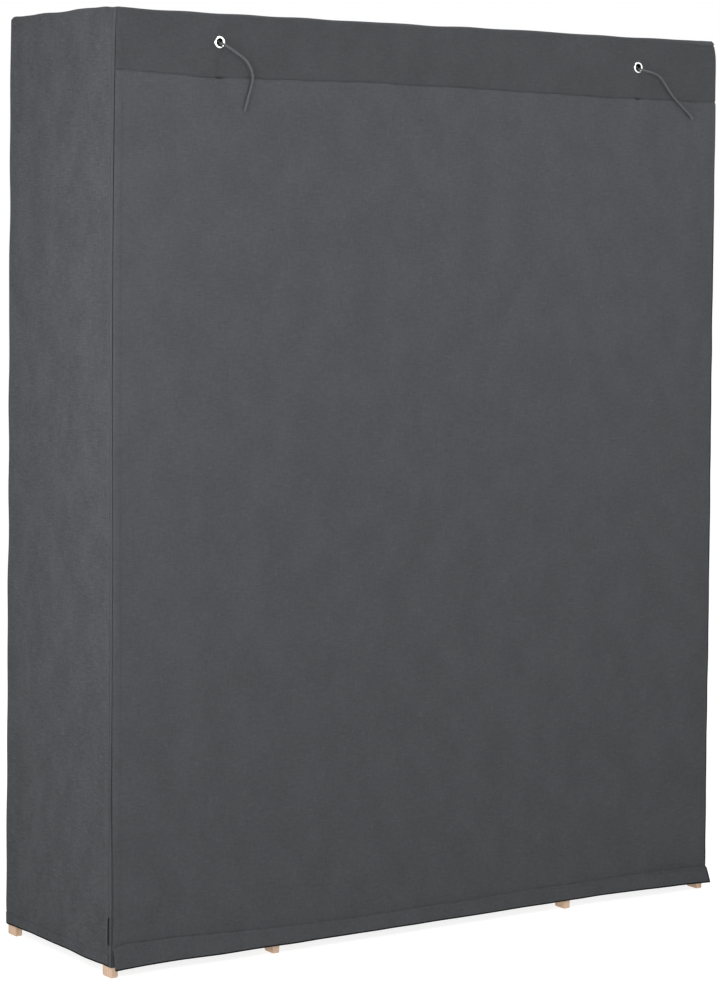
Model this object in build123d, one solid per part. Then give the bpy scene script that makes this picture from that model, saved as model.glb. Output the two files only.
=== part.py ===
from build123d import *
import math
import os

# Cloth wardrobe on a pine frame, three compartments wide.
# Millimetres. +Z up, X along the front, the front faces -Y.
# The origin is on the floor, under the middle of the whole object's box.

# ---------------------------------------------------------------- dimensions
width = 1360.0            # over the side cloths
cover_depth = 396.0       # front cloth to back cloth
height = 1700.0           # floor to roof cloth
cloth = 1.2               # cloth, seam allowance and nap together
cover_bottom = 20.0       # bottom edge of the cloth over the floor
hem_kick_left = 14.0      # how far the hem stands out at the left corner
hem_kick_right = 12.0     # and at the right corner
y_front = -(cover_depth + hem_kick_left) / 2 + hem_kick_left
y_back = y_front + cover_depth
x_side = width / 2

post_x = 14.0             # post thickness, along the front
post_y = 30.0             # post width, front to back
post_top = 1698.5
post_ease = 2.0           # eased bottom edges
outer_x = 671.4           # middle of an outer post
inner_x = 335.0           # middle of an inner post
front_gap = 3.1           # front cloth to front posts
back_gap = 1.5            # back cloth to rear posts

rail_h = 30.0             # height of the rails
rail_t = 14.0             # thickness of the long rails
bottom_rail_z = 60.0
middle_rail_z = 820.0
rod_rail_z = 1515.0
top_rail_z = 1668.0

batten_h = 28.0
batten_t = 12.0
shelf_levels = {"lower": 470.0, "middle": 830.0, "upper": 1190.0}
deck_t = 2.0

rod_r = 11.0
rod_z = 1530.0
socket_bore_r = 11.4
socket_r = 15.0
socket_flange_r = 20.0

seam_z = 1585.0           # seam between the valance and the front curtain
fold_top = 1510.0         # first fold of the curtain
hem_height = 42.0
panels = 12               # sections that the front curtain folds into
panel_gap = 0.25          # each panel's end to its fold line
fold_offset = 0.15        # fold line outside the cloth's face
return_w = 35.0           # side cloth turned round the front corner
return_gap = 0.4

eyelets = {"left": (-471.0, 1646.5), "right": (485.3, 1639.5)}
eyelet_r = 11.2
eyelet_hole_r = 6.5
eyelet_barrel_r = 7.25
eyelet_proud = 1.2
washer_r = 10.6
washer_t = 0.8

cord_r = 2.25
knot_r = 8.0
knot_flat = 3.0
knot_y = y_front + 3.2    # the knot's flat front face

cord_routes = {
    "left": [
        (-468.8, -187.8, 1644.2), (-468.8, -196.4, 1644.2), (-463.7, -202.2, 1639.6),
        (-452.0, -202.6, 1633.8), (-437.0, -201.6, 1625.2), (-422.0, -199.8, 1617.6),
        (-411.0, -198.0, 1604.4), (-404.4, -196.2, 1589.6), (-405.0, -195.4, 1577.0),
        (-410.6, -195.2, 1563.6), (-416.0, -195.2, 1550.0), (-418.2, -195.2, 1538.0),
        (-419.0, -195.2, 1527.0),
    ],
    "right": [
        (487.3, -187.8, 1635.9), (487.3, -196.4, 1635.9), (493.5, -202.2, 1632.6),
        (508.0, -202.6, 1629.4), (524.0, -201.6, 1623.4), (537.0, -200.4, 1618.4),
        (545.0, -199.2, 1609.6), (557.0, -197.8, 1594.8), (570.0, -196.4, 1581.8),
        (586.0, -195.3, 1568.4), (602.0, -195.2, 1554.6), (618.2, -195.2, 1541.2),
    ],
}

os.makedirs("parts", exist_ok=True)


# ------------------------------------------------------------------- helpers
def block(x0, x1, y0, y1, z0, z1):
    return Solid.make_box(x1 - x0, y1 - y0, z1 - z0, Plane(origin=(x0, y0, z0)))


def rod(r, start, direction, length):
    return Solid.make_cylinder(r, length, Plane(origin=start, z_dir=direction))


def screw(start, direction, length, r, head_r, grow=0.0):
    # flat countersunk head at start, straight shank, blunt point
    r, head_r = r + grow, head_r + grow
    sink = head_r - r
    profile = Polyline(
        (0, 0), (head_r, 0), (r, sink), (r, length - 3), (r * 0.4, length + grow), (0, length + grow), (0, 0)
    )
    face = Face(Wire(profile.edges()))
    solid = Solid.revolve(face, 360, Axis.Y)
    # the profile's own Y axis becomes the screw's direction
    d, side = Vector(*direction), Vector(0, 0, 1)
    return Plane(origin=start, x_dir=side, z_dir=side.cross(d)).location * solid


def one(shape):
    found = shape.solids()
    assert len(found) == 1, len(found)
    return found[0]


def cut(solid, tools):
    box = solid.bounding_box()
    near = []
    for t in tools:
        b = t.bounding_box()
        if (
            b.min.X < box.max.X and b.max.X > box.min.X
            and b.min.Y < box.max.Y and b.max.Y > box.min.Y
            and b.min.Z < box.max.Z and b.max.Z > box.min.Z
        ):
            near.append(t)
    return one(solid.cut(*near)) if near else solid


nodes = {}


def keep(name, *solids):
    assert name not in nodes
    nodes[name] = list(solids)


# --------------------------------------------------------------- the fixings
yf_mid = y_front + front_gap + post_y / 2      # middle of the front posts
yb_mid = y_back - back_gap - post_y / 2        # middle of the rear posts
outer_face = outer_x + post_x / 2              # outer side of an outer post
outer_in = outer_x - post_x / 2
inner_out = inner_x + post_x / 2
inner_in = inner_x - post_x / 2

frame_x = {
    "left_outer": -outer_x, "left_inner": -inner_x,
    "right_inner": inner_x, "right_outer": outer_x,
}


def levels_of(frame):
    found = [bottom_rail_z, middle_rail_z, top_rail_z]
    if "inner" in frame:
        found.insert(2, rod_rail_z)
    return found


frame_screws, frame_holes = [], []
for frame, x in frame_x.items():
    for z in levels_of(frame):
        zc = z + rail_h / 2 + 8
        for start, way in (
            ((x, y_front + front_gap, zc), (0, 1, 0)),
            ((x, y_back - back_gap, zc), (0, -1, 0)),
        ):
            frame_screws.append(screw(start, way, 62, 2.2, 4.4))
            frame_holes.append(screw(start, way, 62, 2.2, 4.4, 0.05))

rail_bolts, rail_dowels, rail_holes = [], [], []
for y in (yf_mid, yb_mid):
    for z in (bottom_rail_z, top_rail_z):
        zc = z + rail_h / 2 - 6
        for side in (-1, 1):
            start = (side * outer_face, y, zc)
            rail_bolts.append(screw(start, (-side, 0, 0), 50, 3.0, 5.5))
            rail_holes.append(screw(start, (-side, 0, 0), 50, 3.0, 5.5, 0.05))
            start = (side * (inner_x + 30), y, zc)
            rail_dowels.append(rod(4.0, start, (-side, 0, 0), 60))
            rail_holes.append(rod(4.05, (side * (inner_x + 30.05), y, zc), (-side, 0, 0), 60.1))

batten_bolts, batten_holes = [], []
for y in (yf_mid, yb_mid):
    for z in shelf_levels.values():
        zc = z - batten_h / 2
        for side in (-1, 1):
            for x, way in ((side * outer_face, -side), (side * inner_in, side)):
                batten_bolts.append(screw((x, y, zc), (way, 0, 0), 46, 2.4, 4.6))
                batten_holes.append(screw((x, y, zc), (way, 0, 0), 46, 2.4, 4.6, 0.05))

holes = frame_holes + rail_holes + batten_holes

# ------------------------------------------------------------------ the frame
for frame, x in frame_x.items():
    for where, y in (("front", yf_mid), ("rear", yb_mid)):
        post = block(x - post_x / 2, x + post_x / 2, y - post_y / 2, y + post_y / 2, 0, post_top)
        foot = post.faces().sort_by(Axis.Z)[0].edges()
        post = one(post.chamfer(post_ease, None, foot))
        keep(f"{frame}_{where}_post", cut(post, holes))
    rails = [
        cut(block(x - post_x / 2, x + post_x / 2, yf_mid + post_y / 2, yb_mid - post_y / 2, z, z + rail_h), holes)
        for z in levels_of(frame)
    ]
    keep(f"{frame}_cross_rails", *rails)

bays = {"left": (-outer_in, -inner_out), "centre": (-inner_in, inner_in), "right": (inner_out, outer_in)}
for level, z in (("bottom", bottom_rail_z), ("top", top_rail_z)):
    for where, y in (("front", yf_mid), ("rear", yb_mid)):
        keep(
            f"{level}_{where}_rails",
            *[
                cut(block(a, b, y - rail_t / 2, y + rail_t / 2, z, z + rail_h), holes)
                for a, b in bays.values()
            ],
        )

keep("frame_screws", *frame_screws)
keep("rail_bolts", *rail_bolts)
keep("rail_dowels", *rail_dowels)
keep("batten_bolts", *batten_bolts)

# ---------------------------------------------------------------- the shelves
deck_y = (y_front + 3.4, y_back - 1.8)
for side in ("left", "right"):
    a, b = bays[side]
    battens = [
        cut(block(a, b, y - batten_t / 2, y + batten_t / 2, z - batten_h, z), holes)
        for z in shelf_levels.values()
        for y in (yf_mid, yb_mid)
    ]
    keep(f"{side}_shelf_battens", *battens)
    for level, z in shelf_levels.items():
        keep(f"{side}_{level}_shelf", block(a + 0.3, b - 0.3, *deck_y, z, z + deck_t))
for side, (a, b) in bays.items():
    z = bottom_rail_z + rail_h
    keep(f"{side}_floor_shelf", block(a + 0.3, b - 0.3, *deck_y, z, z + deck_t))

# ----------------------------------------------------------- the hanging rod
rod_y = (y_front + y_back) / 2
keep("hanging_rod", rod(rod_r, (-(inner_in - 3.3), rod_y, rod_z), (1, 0, 0), 2 * (inner_in - 3.3)))
sockets = []
for side in (-1, 1):
    base = (side * inner_in, rod_y, rod_z)
    plate = rod(socket_flange_r, base, (-side, 0, 0), 3)
    cup = rod(socket_r, base, (-side, 0, 0), 16)
    bore = rod(socket_bore_r, (side * (inner_in - 3), rod_y, rod_z), (-side, 0, 0), 20)
    sockets.append(one(one(plate.fuse(cup)).cut(bore)))
keep("rod_sockets", *sockets)

# ------------------------------------------------------------------ the cover
roof_under = height - cloth
keep("cover_roof", block(-x_side, x_side, y_front, y_back, roof_under, height))
keep("cover_back", block(-x_side + cloth, x_side - cloth, y_back - cloth, y_back, cover_bottom, roof_under))
for side, s in (("left", -1), ("right", 1)):
    y0 = y_front + cloth + return_gap
    outline = [
        (s * x_side, y0), (s * (x_side - return_w), y0), (s * (x_side - return_w), y0 + cloth),
        (s * (x_side - cloth), y0 + cloth), (s * (x_side - cloth), y_back), (s * x_side, y_back),
        (s * x_side, y0),
    ]
    face = Face(Wire(Polyline(*[(x, y, cover_bottom) for x, y in outline]).edges()))
    if face.normal_at().Z < 0:
        face = -face
    keep(f"cover_{side}_side", Solid.extrude(face, Vector(0, 0, roof_under - cover_bottom)))

edge = x_side - 0.5
valance = block(-edge, edge, y_front, y_front + cloth, seam_z, roof_under)
for x, z in eyelets.values():
    valance = one(valance.cut(rod(eyelet_barrel_r, (x, y_front - 5, z), (0, 1, 0), 12)))
keep("cover_valance", valance)
keep("curtain_head", block(-edge, edge, y_front, y_front + cloth, fold_top + panel_gap, seam_z))

# eyelets: rolled front ring and barrel in one, and a flat washer behind
rings, washers = [], []
for x, z in eyelets.values():
    back = cloth + washer_t + 0.3
    p = [
        (eyelet_hole_r, back), (eyelet_hole_r, -0.5), (eyelet_hole_r + 0.8, -eyelet_proud),
        (eyelet_r - 1.6, -eyelet_proud * 0.8), (eyelet_r, -0.0), (eyelet_barrel_r, 0.0),
        (eyelet_barrel_r, back), (eyelet_hole_r, back),
    ]
    face = Face(Wire(Polyline(*p).edges()))
    ring = Solid.revolve(face, 360, Axis.Y)
    rings.append(Plane(origin=(x, y_front, z), x_dir=(1, 0, 0), z_dir=(0, 0, 1)).location * ring)
    washer = rod(washer_r, (x, y_front + cloth, z), (0, 1, 0), washer_t)
    washers.append(one(washer.cut(rod(eyelet_barrel_r, (x, y_front - 5, z), (0, 1, 0), 12))))
keep("eyelets", *rings)
keep("eyelet_washers", *washers)

# --------------------------------------------------- the folding front curtain
step = (fold_top - cover_bottom - hem_height) / panels
for k in range(panels):
    z1 = fold_top - k * step
    keep(
        f"curtain_panel_{k + 1:02d}",
        block(-edge, edge, y_front, y_front + cloth, z1 - step + panel_gap, z1 - panel_gap),
    )

# the hem band stands out a little at both corners
hem_top = cover_bottom + hem_height - panel_gap
stations = [
    (-edge, hem_kick_left), (-600, 7.0), (-500, 2.2), (-380, 0.0),
    (380, 0.0), (520, 2.0), (610, 5.2), (edge, hem_kick_right),
]
sections = []
for x, kick in stations:
    corners = [
        (x, y_front, hem_top), (x, y_front + cloth, hem_top),
        (x, y_front + cloth - kick, cover_bottom), (x, y_front - kick, cover_bottom),
        (x, y_front, hem_top),
    ]
    sections.append(Wire(Polyline(*corners).edges()))
keep("hem_band", Solid.make_loft(sections, ruled=True))

# ------------------------------------------------------------------ the cords
for side, route in cord_routes.items():
    pts = [Vector(*p) for p in route]
    radii = []
    for a, b, c in zip(pts, pts[1:], pts[2:]):
        turn = math.radians((b - a).get_angle(c - b))
        shorter = min((b - a).length, (c - b).length)
        radii.append(0.45 * shorter / math.tan(turn / 2))
    path = Wire(FilletPolyline(*pts, radius=radii).edges())
    start = Plane(origin=pts[0], z_dir=(pts[1] - pts[0]))
    disc = Face(Wire(start.location * Edge.make_circle(cord_r)))
    tube = one(Solid.sweep(disc, path))
    print(side, "cord length", round(path.length, 1), "radii", [round(r, 1) for r in radii],
          "volume", round(tube.volume / (math.pi * cord_r ** 2 * path.length), 4))
    keep(f"{side}_pull_cord", tube)
    centre = (pts[0].X, knot_y + math.sqrt(knot_r ** 2 - knot_flat ** 2), pts[0].Z)
    ball = Solid.make_sphere(knot_r, Plane(origin=centre))
    ball = one(ball.cut(block(centre[0] - 20, centre[0] + 20, knot_y - 20, knot_y, centre[2] - 20, centre[2] + 20)))
    keep(f"{side}_cord_knot", ball)

# ------------------------------------------------------------------ the files
assert len(nodes) <= 60, len(nodes)
low, high = Vector(1e9, 1e9, 1e9), Vector(-1e9, -1e9, -1e9)
for name, solids in nodes.items():
    shape = solids[0] if len(solids) == 1 else Compound(children=solids)
    b = shape.bounding_box()
    low = Vector(min(low.X, b.min.X), min(low.Y, b.min.Y), min(low.Z, b.min.Z))
    high = Vector(max(high.X, b.max.X), max(high.Y, b.max.Y), max(high.Z, b.max.Z))
    export_step(shape, f"parts/{name}.step")
print(len(nodes), "nodes, box", [round(v, 2) for v in (*low, *high)])
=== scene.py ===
import math

import bmesh
import bpy
import numpy as np
from mathutils import Matrix, Vector


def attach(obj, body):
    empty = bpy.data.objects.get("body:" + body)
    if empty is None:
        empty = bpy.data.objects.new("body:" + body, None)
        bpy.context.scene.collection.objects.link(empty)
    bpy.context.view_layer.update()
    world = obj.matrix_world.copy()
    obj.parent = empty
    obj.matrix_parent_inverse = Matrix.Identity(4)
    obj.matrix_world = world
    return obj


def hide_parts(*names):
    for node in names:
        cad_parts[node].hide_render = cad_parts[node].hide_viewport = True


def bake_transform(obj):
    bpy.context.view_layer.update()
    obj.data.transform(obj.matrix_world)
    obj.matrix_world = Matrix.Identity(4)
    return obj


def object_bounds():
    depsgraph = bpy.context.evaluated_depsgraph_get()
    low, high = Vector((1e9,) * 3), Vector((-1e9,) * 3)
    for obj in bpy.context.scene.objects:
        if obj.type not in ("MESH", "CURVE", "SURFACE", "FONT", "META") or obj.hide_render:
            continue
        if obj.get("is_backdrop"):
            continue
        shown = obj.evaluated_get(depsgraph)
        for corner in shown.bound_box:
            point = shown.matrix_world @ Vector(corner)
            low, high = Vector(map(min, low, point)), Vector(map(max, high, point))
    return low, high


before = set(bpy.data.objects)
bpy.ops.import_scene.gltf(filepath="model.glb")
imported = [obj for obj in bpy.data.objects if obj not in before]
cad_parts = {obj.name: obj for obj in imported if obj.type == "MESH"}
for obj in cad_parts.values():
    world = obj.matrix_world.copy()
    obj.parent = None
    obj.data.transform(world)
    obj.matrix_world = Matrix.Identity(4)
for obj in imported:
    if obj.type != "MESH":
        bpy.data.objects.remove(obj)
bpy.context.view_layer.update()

MM = 0.001
scene = bpy.context.scene
link = scene.collection.objects.link

# ---------------------------------------------------------------- camera
cam_data = bpy.data.cameras.new("camera")
cam = bpy.data.objects.new("camera", cam_data)
link(cam)
right = Vector((0.82862976, -0.55972581, 0.00893006)).normalized()
forward = Vector((0.55964698, 0.82793289, -0.03636464)).normalized()
up = right.cross(forward).normalized()
right = forward.cross(up).normalized()
cam.matrix_world = Matrix((
    (right.x, up.x, -forward.x, -3.16973),
    (right.y, up.y, -forward.y, -4.63722),
    (right.z, up.z, -forward.z, 1.30769),
    (0, 0, 0, 1),
))
cam_data.sensor_width = 36.0
cam_data.lens = 2923.744 / 993.0 * 36.0
cam_data.shift_x = 0.0
cam_data.shift_y = -(496.5 - 341.19) / 993.0
cam_data.clip_start, cam_data.clip_end = 0.1, 60.0
scene.camera = cam
scene.view_settings.view_transform = "Standard"

# ---------------------------------------------------------- main places, mm
W = 680.0            # side cloths
YF, YB = -191.0, 205.0
ZB, ZT = 20.0, 1700.0
R = 4.0              # rounding of the cover's upright edges
RT = 6.0             # rounding of its top edges
EDGE = 682.3         # half width of the valance and the curtain
T = 0.8              # cloth
FOLD_TOP, STEP = 1510.0, (1510.0 - 62.0) / 12.0
SEAM_X = np.array([-684, -672.6, -592.6, -472, -301, -126, 9, 149, 268, 390.6, 490.6, 654.7, 684.0])
SEAM_Z = np.array([1591.3, 1590.7, 1587.9, 1584.2, 1585.8, 1587.0, 1585.3, 1583.6, 1581.0, 1578.9, 1578.5, 1577.6, 1577.4])
EYELETS = {"left": (-471.0, 1646.5), "right": (485.3, 1639.5)}


# ------------------------------------------------------------ number helpers
def smooth(a, b, x):
    t = np.clip((np.asarray(x, float) - a) / (b - a), 0, 1)
    return t * t * (3 - 2 * t)


def gauss(x, s):
    return np.exp(-(x / s) ** 2)


def bell(x, y, x0, y0, sx, sy, turn=0.0):
    """A soft mound at x0, y0, turned by that angle in degrees."""
    c, s = math.cos(math.radians(turn)), math.sin(math.radians(turn))
    u, v = (x - x0) * c + (y - y0) * s, -(x - x0) * s + (y - y0) * c
    return np.exp(-(u / sx) ** 2 - (v / sy) ** 2)


def ridge(a, b, a0, b0, a1, b1, width, soft=0.35):
    """1 on the line from (a0, b0) to (a1, b1), falling off over width, and softly past its ends."""
    da, db = a1 - a0, b1 - b0
    n = math.hypot(da, db)
    t = ((a - a0) * da + (b - b0) * db) / (n * n)
    off = ((a - a0) * db - (b - b0) * da) / n
    return np.exp(-(off / width) ** 2) * smooth(-soft, soft, t) * smooth(-soft, soft, 1 - t)


def waves(seed, n, *bands):
    """A smooth random field as a sum of waves. bands: (shortest, longest) wavelength along each axis, in mm."""
    rng = np.random.default_rng(seed)
    ks, ph, am = [], [], []
    for i in range(n):
        k = []
        for lo, hi in bands:
            lam = lo * (hi / lo) ** rng.random()
            k.append((1 if rng.random() < 0.5 else -1) * 2 * math.pi / lam)
        ks.append(k)
        ph.append(rng.random() * 2 * math.pi)
        am.append(0.6 + 0.8 * rng.random())
    am = np.array(am) / math.sqrt(sum(a * a for a in am) / 2)

    def field(*axes):
        out = 0.0
        for k, p, a in zip(ks, ph, am):
            s = p
            for kk, x in zip(k, axes):
                s = s + kk * x
            out = out + a * np.sin(s)
        return out

    return field


# ------------------------------------------------------------- mesh helpers
def new_mesh(name, verts, faces, uv=None, sharp=None, mats=(), face_mats=None, flat=False):
    """A mesh object from points in mm. uv: one (u, v) in metres for each point. sharp: pairs of points whose edge is sharp."""
    mesh = bpy.data.meshes.new(name)
    mesh.from_pydata((np.asarray(verts, float) * MM).tolist(), [], [tuple(int(i) for i in f) for f in faces])
    mesh.update()
    if not flat:
        mesh.polygons.foreach_set("use_smooth", np.ones(len(mesh.polygons), bool))
    if uv is not None:
        loops = np.zeros(len(mesh.loops), np.int32)
        mesh.loops.foreach_get("vertex_index", loops)
        layer = mesh.uv_layers.new(name="cut")
        layer.data.foreach_set("uv", np.asarray(uv, np.float32)[loops].ravel())
    if sharp is not None and len(sharp):
        n = len(verts)
        ends = np.zeros(len(mesh.edges) * 2, np.int32)
        mesh.edges.foreach_get("vertices", ends)
        ends = np.sort(ends.reshape(-1, 2), axis=1).astype(np.int64)
        wanted = np.sort(np.asarray(sharp, np.int64), axis=1)
        flag = np.isin(ends[:, 0] * n + ends[:, 1], wanted[:, 0] * n + wanted[:, 1])
        mark = mesh.attributes.get("sharp_edge") or mesh.attributes.new("sharp_edge", "BOOLEAN", "EDGE")
        mark.data.foreach_set("value", flag)
    for m in mats:
        mesh.materials.append(m)
    if face_mats is not None:
        mesh.polygons.foreach_set("material_index", np.asarray(face_mats, np.int32))
    obj = bpy.data.objects.new(name, mesh)
    link(obj)
    return obj


def normals_of(P, outward):
    du, dv = np.gradient(P, axis=0), np.gradient(P, axis=1)
    n = np.cross(du, dv)
    n /= np.maximum(np.linalg.norm(n, axis=2, keepdims=True), 1e-9)
    probe = n.reshape(-1, 3)[len(n.reshape(-1, 3)) // 2]
    middle = np.median(n.reshape(-1, 3), axis=0)
    return n if np.dot(middle, outward) > 0 or (abs(np.dot(middle, outward)) < 1e-6 and np.dot(probe, outward) > 0) else -n


def shell(name, P, uv, outward, t=T, mat=None, hide=None, normals=None, painted_light_marks=None, band=None):
    """A closed sheet of thickness t: P is the grid of its outer side, (rows, columns, 3) in mm. hide: cells left out.
    The edge marks: 1 for the cells of an edge in painted dark grey shade, 2 for those in painted near-black shade, 3
    for those in the band's material, a lighter copy of the cloth that paints light."""
    rows, cols = P.shape[:2]
    N = normals if normals is not None else normals_of(P, outward)
    t = np.broadcast_to(np.asarray(t, float), (rows, cols))
    inner = P - N * t[..., None]
    idx = np.arange(rows * cols).reshape(rows, cols)
    a, b, c, d = idx[:-1, :-1], idx[:-1, 1:], idx[1:, 1:], idx[1:, :-1]
    quads = np.stack([a, b, c, d], axis=-1)
    test = np.cross(P[1:, :-1] - P[:-1, :-1], P[:-1, 1:] - P[:-1, :-1])
    if (test * N[:-1, :-1]).sum(-1).mean() > 0:
        quads = quads[..., ::-1]
    keep = np.ones((rows - 1, cols - 1), bool) if hide is None else ~hide
    outer = quads[keep]
    n = rows * cols
    back = outer[:, ::-1] + n
    half = {}
    for f in outer:
        for i in range(4):
            half[(int(f[i]), int(f[(i + 1) % 4]))] = True
    rim, sharp = [], []
    for p, q in half:
        if (q, p) not in half:
            rim.append((q, p, p + n, q + n))
            sharp += [(p, q), (p + n, q + n)]
    verts = np.concatenate([P.reshape(-1, 3), inner.reshape(-1, 3)])
    faces = list(map(tuple, outer)) + list(map(tuple, back)) + rim
    face_mats = None
    # the edge marks put painted shade on edge cells, and the band's lighter copy, which paints light, on the hem band
    if painted_light_marks is not None:
        painted_light_marks = painted_light_marks.astype(int)
        edge_v = np.zeros((rows, cols), int)
        for i, k in ((0, 0), (1, 0), (0, 1), (1, 1)):
            edge_v[i:i + rows - 1, k:k + cols - 1] = np.maximum(edge_v[i:i + rows - 1, k:k + cols - 1], painted_light_marks)
        edge_v = edge_v.ravel()
        face_mats = list(painted_light_marks[keep]) * 2 + [int(min(edge_v[f[0]], edge_v[f[1]])) for f in rim]
    uvs = np.concatenate([uv.reshape(-1, 2), uv.reshape(-1, 2)]) * MM
    used = np.zeros(len(verts), bool)
    for f in faces:
        used[list(f)] = True
    if not used.all():
        new = np.cumsum(used) - 1
        verts, uvs = verts[used], uvs[used]
        faces = [tuple(int(new[i]) for i in f) for f in faces]
        sharp = [(int(new[i]), int(new[j])) for i, j in sharp]
    return new_mesh(name, verts, faces, uvs, sharp, [mat, edge_shade_mat, black_edge_shade_mat, band or mat] if painted_light_marks is not None else [mat], face_mats)


def joined(values, tol=0.2):
    """Sorted values without near doubles."""
    v = np.sort(np.asarray(values, float))
    out = [v[0]]
    for x in v[1:]:
        if x - out[-1] > tol:
            out.append(x)
    out[-1] = v[-1]
    return np.array(out)


def steps(a, b, size, first=1.0):
    """From a to b in about equal steps, with a narrow one at each end."""
    a2, b2 = a + math.copysign(first, b - a), b - math.copysign(first, b - a)
    n = max(1, int(round(abs(b2 - a2) / size)))
    return [a, *np.linspace(a2, b2, n + 1), b]


def tube_mesh(line, radius, sides=8, taper=None):
    """Points and faces of a round tube along line, with closed ends."""
    line = np.asarray(line, float)
    n = len(line)
    tang = np.gradient(line, axis=0)
    tang /= np.maximum(np.linalg.norm(tang, axis=1, keepdims=True), 1e-9)
    ref = np.array([0, 0, 1.0]) if abs(tang[0][2]) < 0.9 else np.array([1.0, 0, 0])
    u = np.cross(tang[0], ref)
    u /= np.linalg.norm(u)
    verts, faces = [], []
    for i in range(n):
        u = u - tang[i] * np.dot(u, tang[i])
        u /= max(np.linalg.norm(u), 1e-9)
        v = np.cross(tang[i], u)
        r = radius * (1 if taper is None else taper(i / (n - 1)))
        for k in range(sides):
            a = 2 * math.pi * k / sides
            verts.append(line[i] + r * (math.cos(a) * u + math.sin(a) * v))
    for i in range(n - 1):
        for k in range(sides):
            a, b = i * sides + k, i * sides + (k + 1) % sides
            faces.append((a, b, b + sides, a + sides))
    verts += [line[0], line[-1]]
    for k in range(sides):
        faces.append(((k + 1) % sides, k, n * sides))
        faces.append(((n - 1) * sides + k, (n - 1) * sides + (k + 1) % sides, n * sides + 1))
    return verts, faces


class Parts:
    """Collects small pieces into one mesh."""

    def __init__(self):
        self.v, self.f = [], []

    def add(self, verts, faces):
        n = len(self.v)
        self.v += [tuple(map(float, p)) for p in verts]
        self.f += [tuple(i + n for i in f) for f in faces]

    def make(self, name, mat, sharp=None):
        return new_mesh(name, np.array(self.v), self.f, None, sharp, [mat])


def stitch(parts, at, along, normal, length=3.0, thick=0.5, lift=0.12):
    """One stitch of a seam: a short, slightly bowed thread that dives into the cloth at both ends."""
    along = along / max(np.linalg.norm(along), 1e-9)
    normal = normal / max(np.linalg.norm(normal), 1e-9)
    side = np.cross(normal, along)
    verts, faces = [], []
    for s, h, w in ((-0.5, -0.35, 0.45), (-0.3, 0.1, 1.0), (0.3, 0.1, 1.0), (0.5, -0.35, 0.45)):
        mid = at + along * (s * length) + normal * (lift + h * thick)
        for a in (math.pi / 4, 3 * math.pi / 4, 5 * math.pi / 4, 7 * math.pi / 4):
            verts.append(mid + (side * math.cos(a) + normal * math.sin(a) * 0.7) * thick * 0.5 * w)
    for i in range(3):
        for k in range(4):
            a, b = i * 4 + k, i * 4 + (k + 1) % 4
            faces.append((a, a + 4, b + 4, b))
    faces.append((0, 1, 2, 3))
    faces.append((15, 14, 13, 12))
    parts.add(verts, faces)


def seam_of_stitches(parts, line, normals, pitch=3.9, length=2.9, thick=0.5):
    """Stitches along a line of points, each with its outward direction."""
    line, normals = np.asarray(line, float), np.asarray(normals, float)
    along = np.concatenate([[0], np.cumsum(np.linalg.norm(np.diff(line, axis=0), axis=1))])
    for s in np.arange(pitch * 0.7, along[-1] - pitch * 0.5, pitch):
        at = np.array([np.interp(s, along, line[:, k]) for k in range(3)])
        a2 = np.array([np.interp(s + 0.6, along, line[:, k]) for k in range(3)])
        a1 = np.array([np.interp(s - 0.6, along, line[:, k]) for k in range(3)])
        n = np.array([np.interp(s, along, normals[:, k]) for k in range(3)])
        stitch(parts, at, a2 - a1, n, length, thick)


# --------------------------------------------------------------- materials
def nodes_of(name):
    m = bpy.data.materials.new(name)
    m.use_nodes = True
    nt = m.node_tree
    bsdf = nt.nodes["Principled BSDF"]
    return m, nt, bsdf


def add(nt, kind, **values):
    n = nt.nodes.new(kind)
    for k, v in values.items():
        setattr(n, k, v)
    return n


def math_node(nt, op, a, b=None, c=None, clamp=False):
    n = add(nt, "ShaderNodeMath", operation=op, use_clamp=clamp)
    for i, x in enumerate((a, b, c)):
        if x is None:
            continue
        if isinstance(x, (int, float)):
            n.inputs[i].default_value = x
        else:
            nt.links.new(x, n.inputs[i])
    return n.outputs[0]


def scaled(nt, vector, scale, turn=0.0):
    m = add(nt, "ShaderNodeMapping")
    m.inputs["Scale"].default_value = scale
    m.inputs["Rotation"].default_value = (0, 0, turn)
    nt.links.new(vector, m.inputs["Vector"])
    return m.outputs[0]


def noise(nt, vector, scale=1.0, detail=2.0, rough=0.5, distort=0.0):
    n = add(nt, "ShaderNodeTexNoise")
    n.inputs["Scale"].default_value = scale
    n.inputs["Detail"].default_value = detail
    n.inputs["Roughness"].default_value = rough
    n.inputs["Distortion"].default_value = distort
    nt.links.new(vector, n.inputs["Vector"])
    return n.outputs[0]


def spread(nt, x, lo, hi, to0, to1):
    n = add(nt, "ShaderNodeMapRange", interpolation_type="SMOOTHSTEP")
    for k, v in (("From Min", lo), ("From Max", hi), ("To Min", to0), ("To Max", to1)):
        n.inputs[k].default_value = v
    nt.links.new(x, n.inputs["Value"])
    return n.outputs[0]


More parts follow.
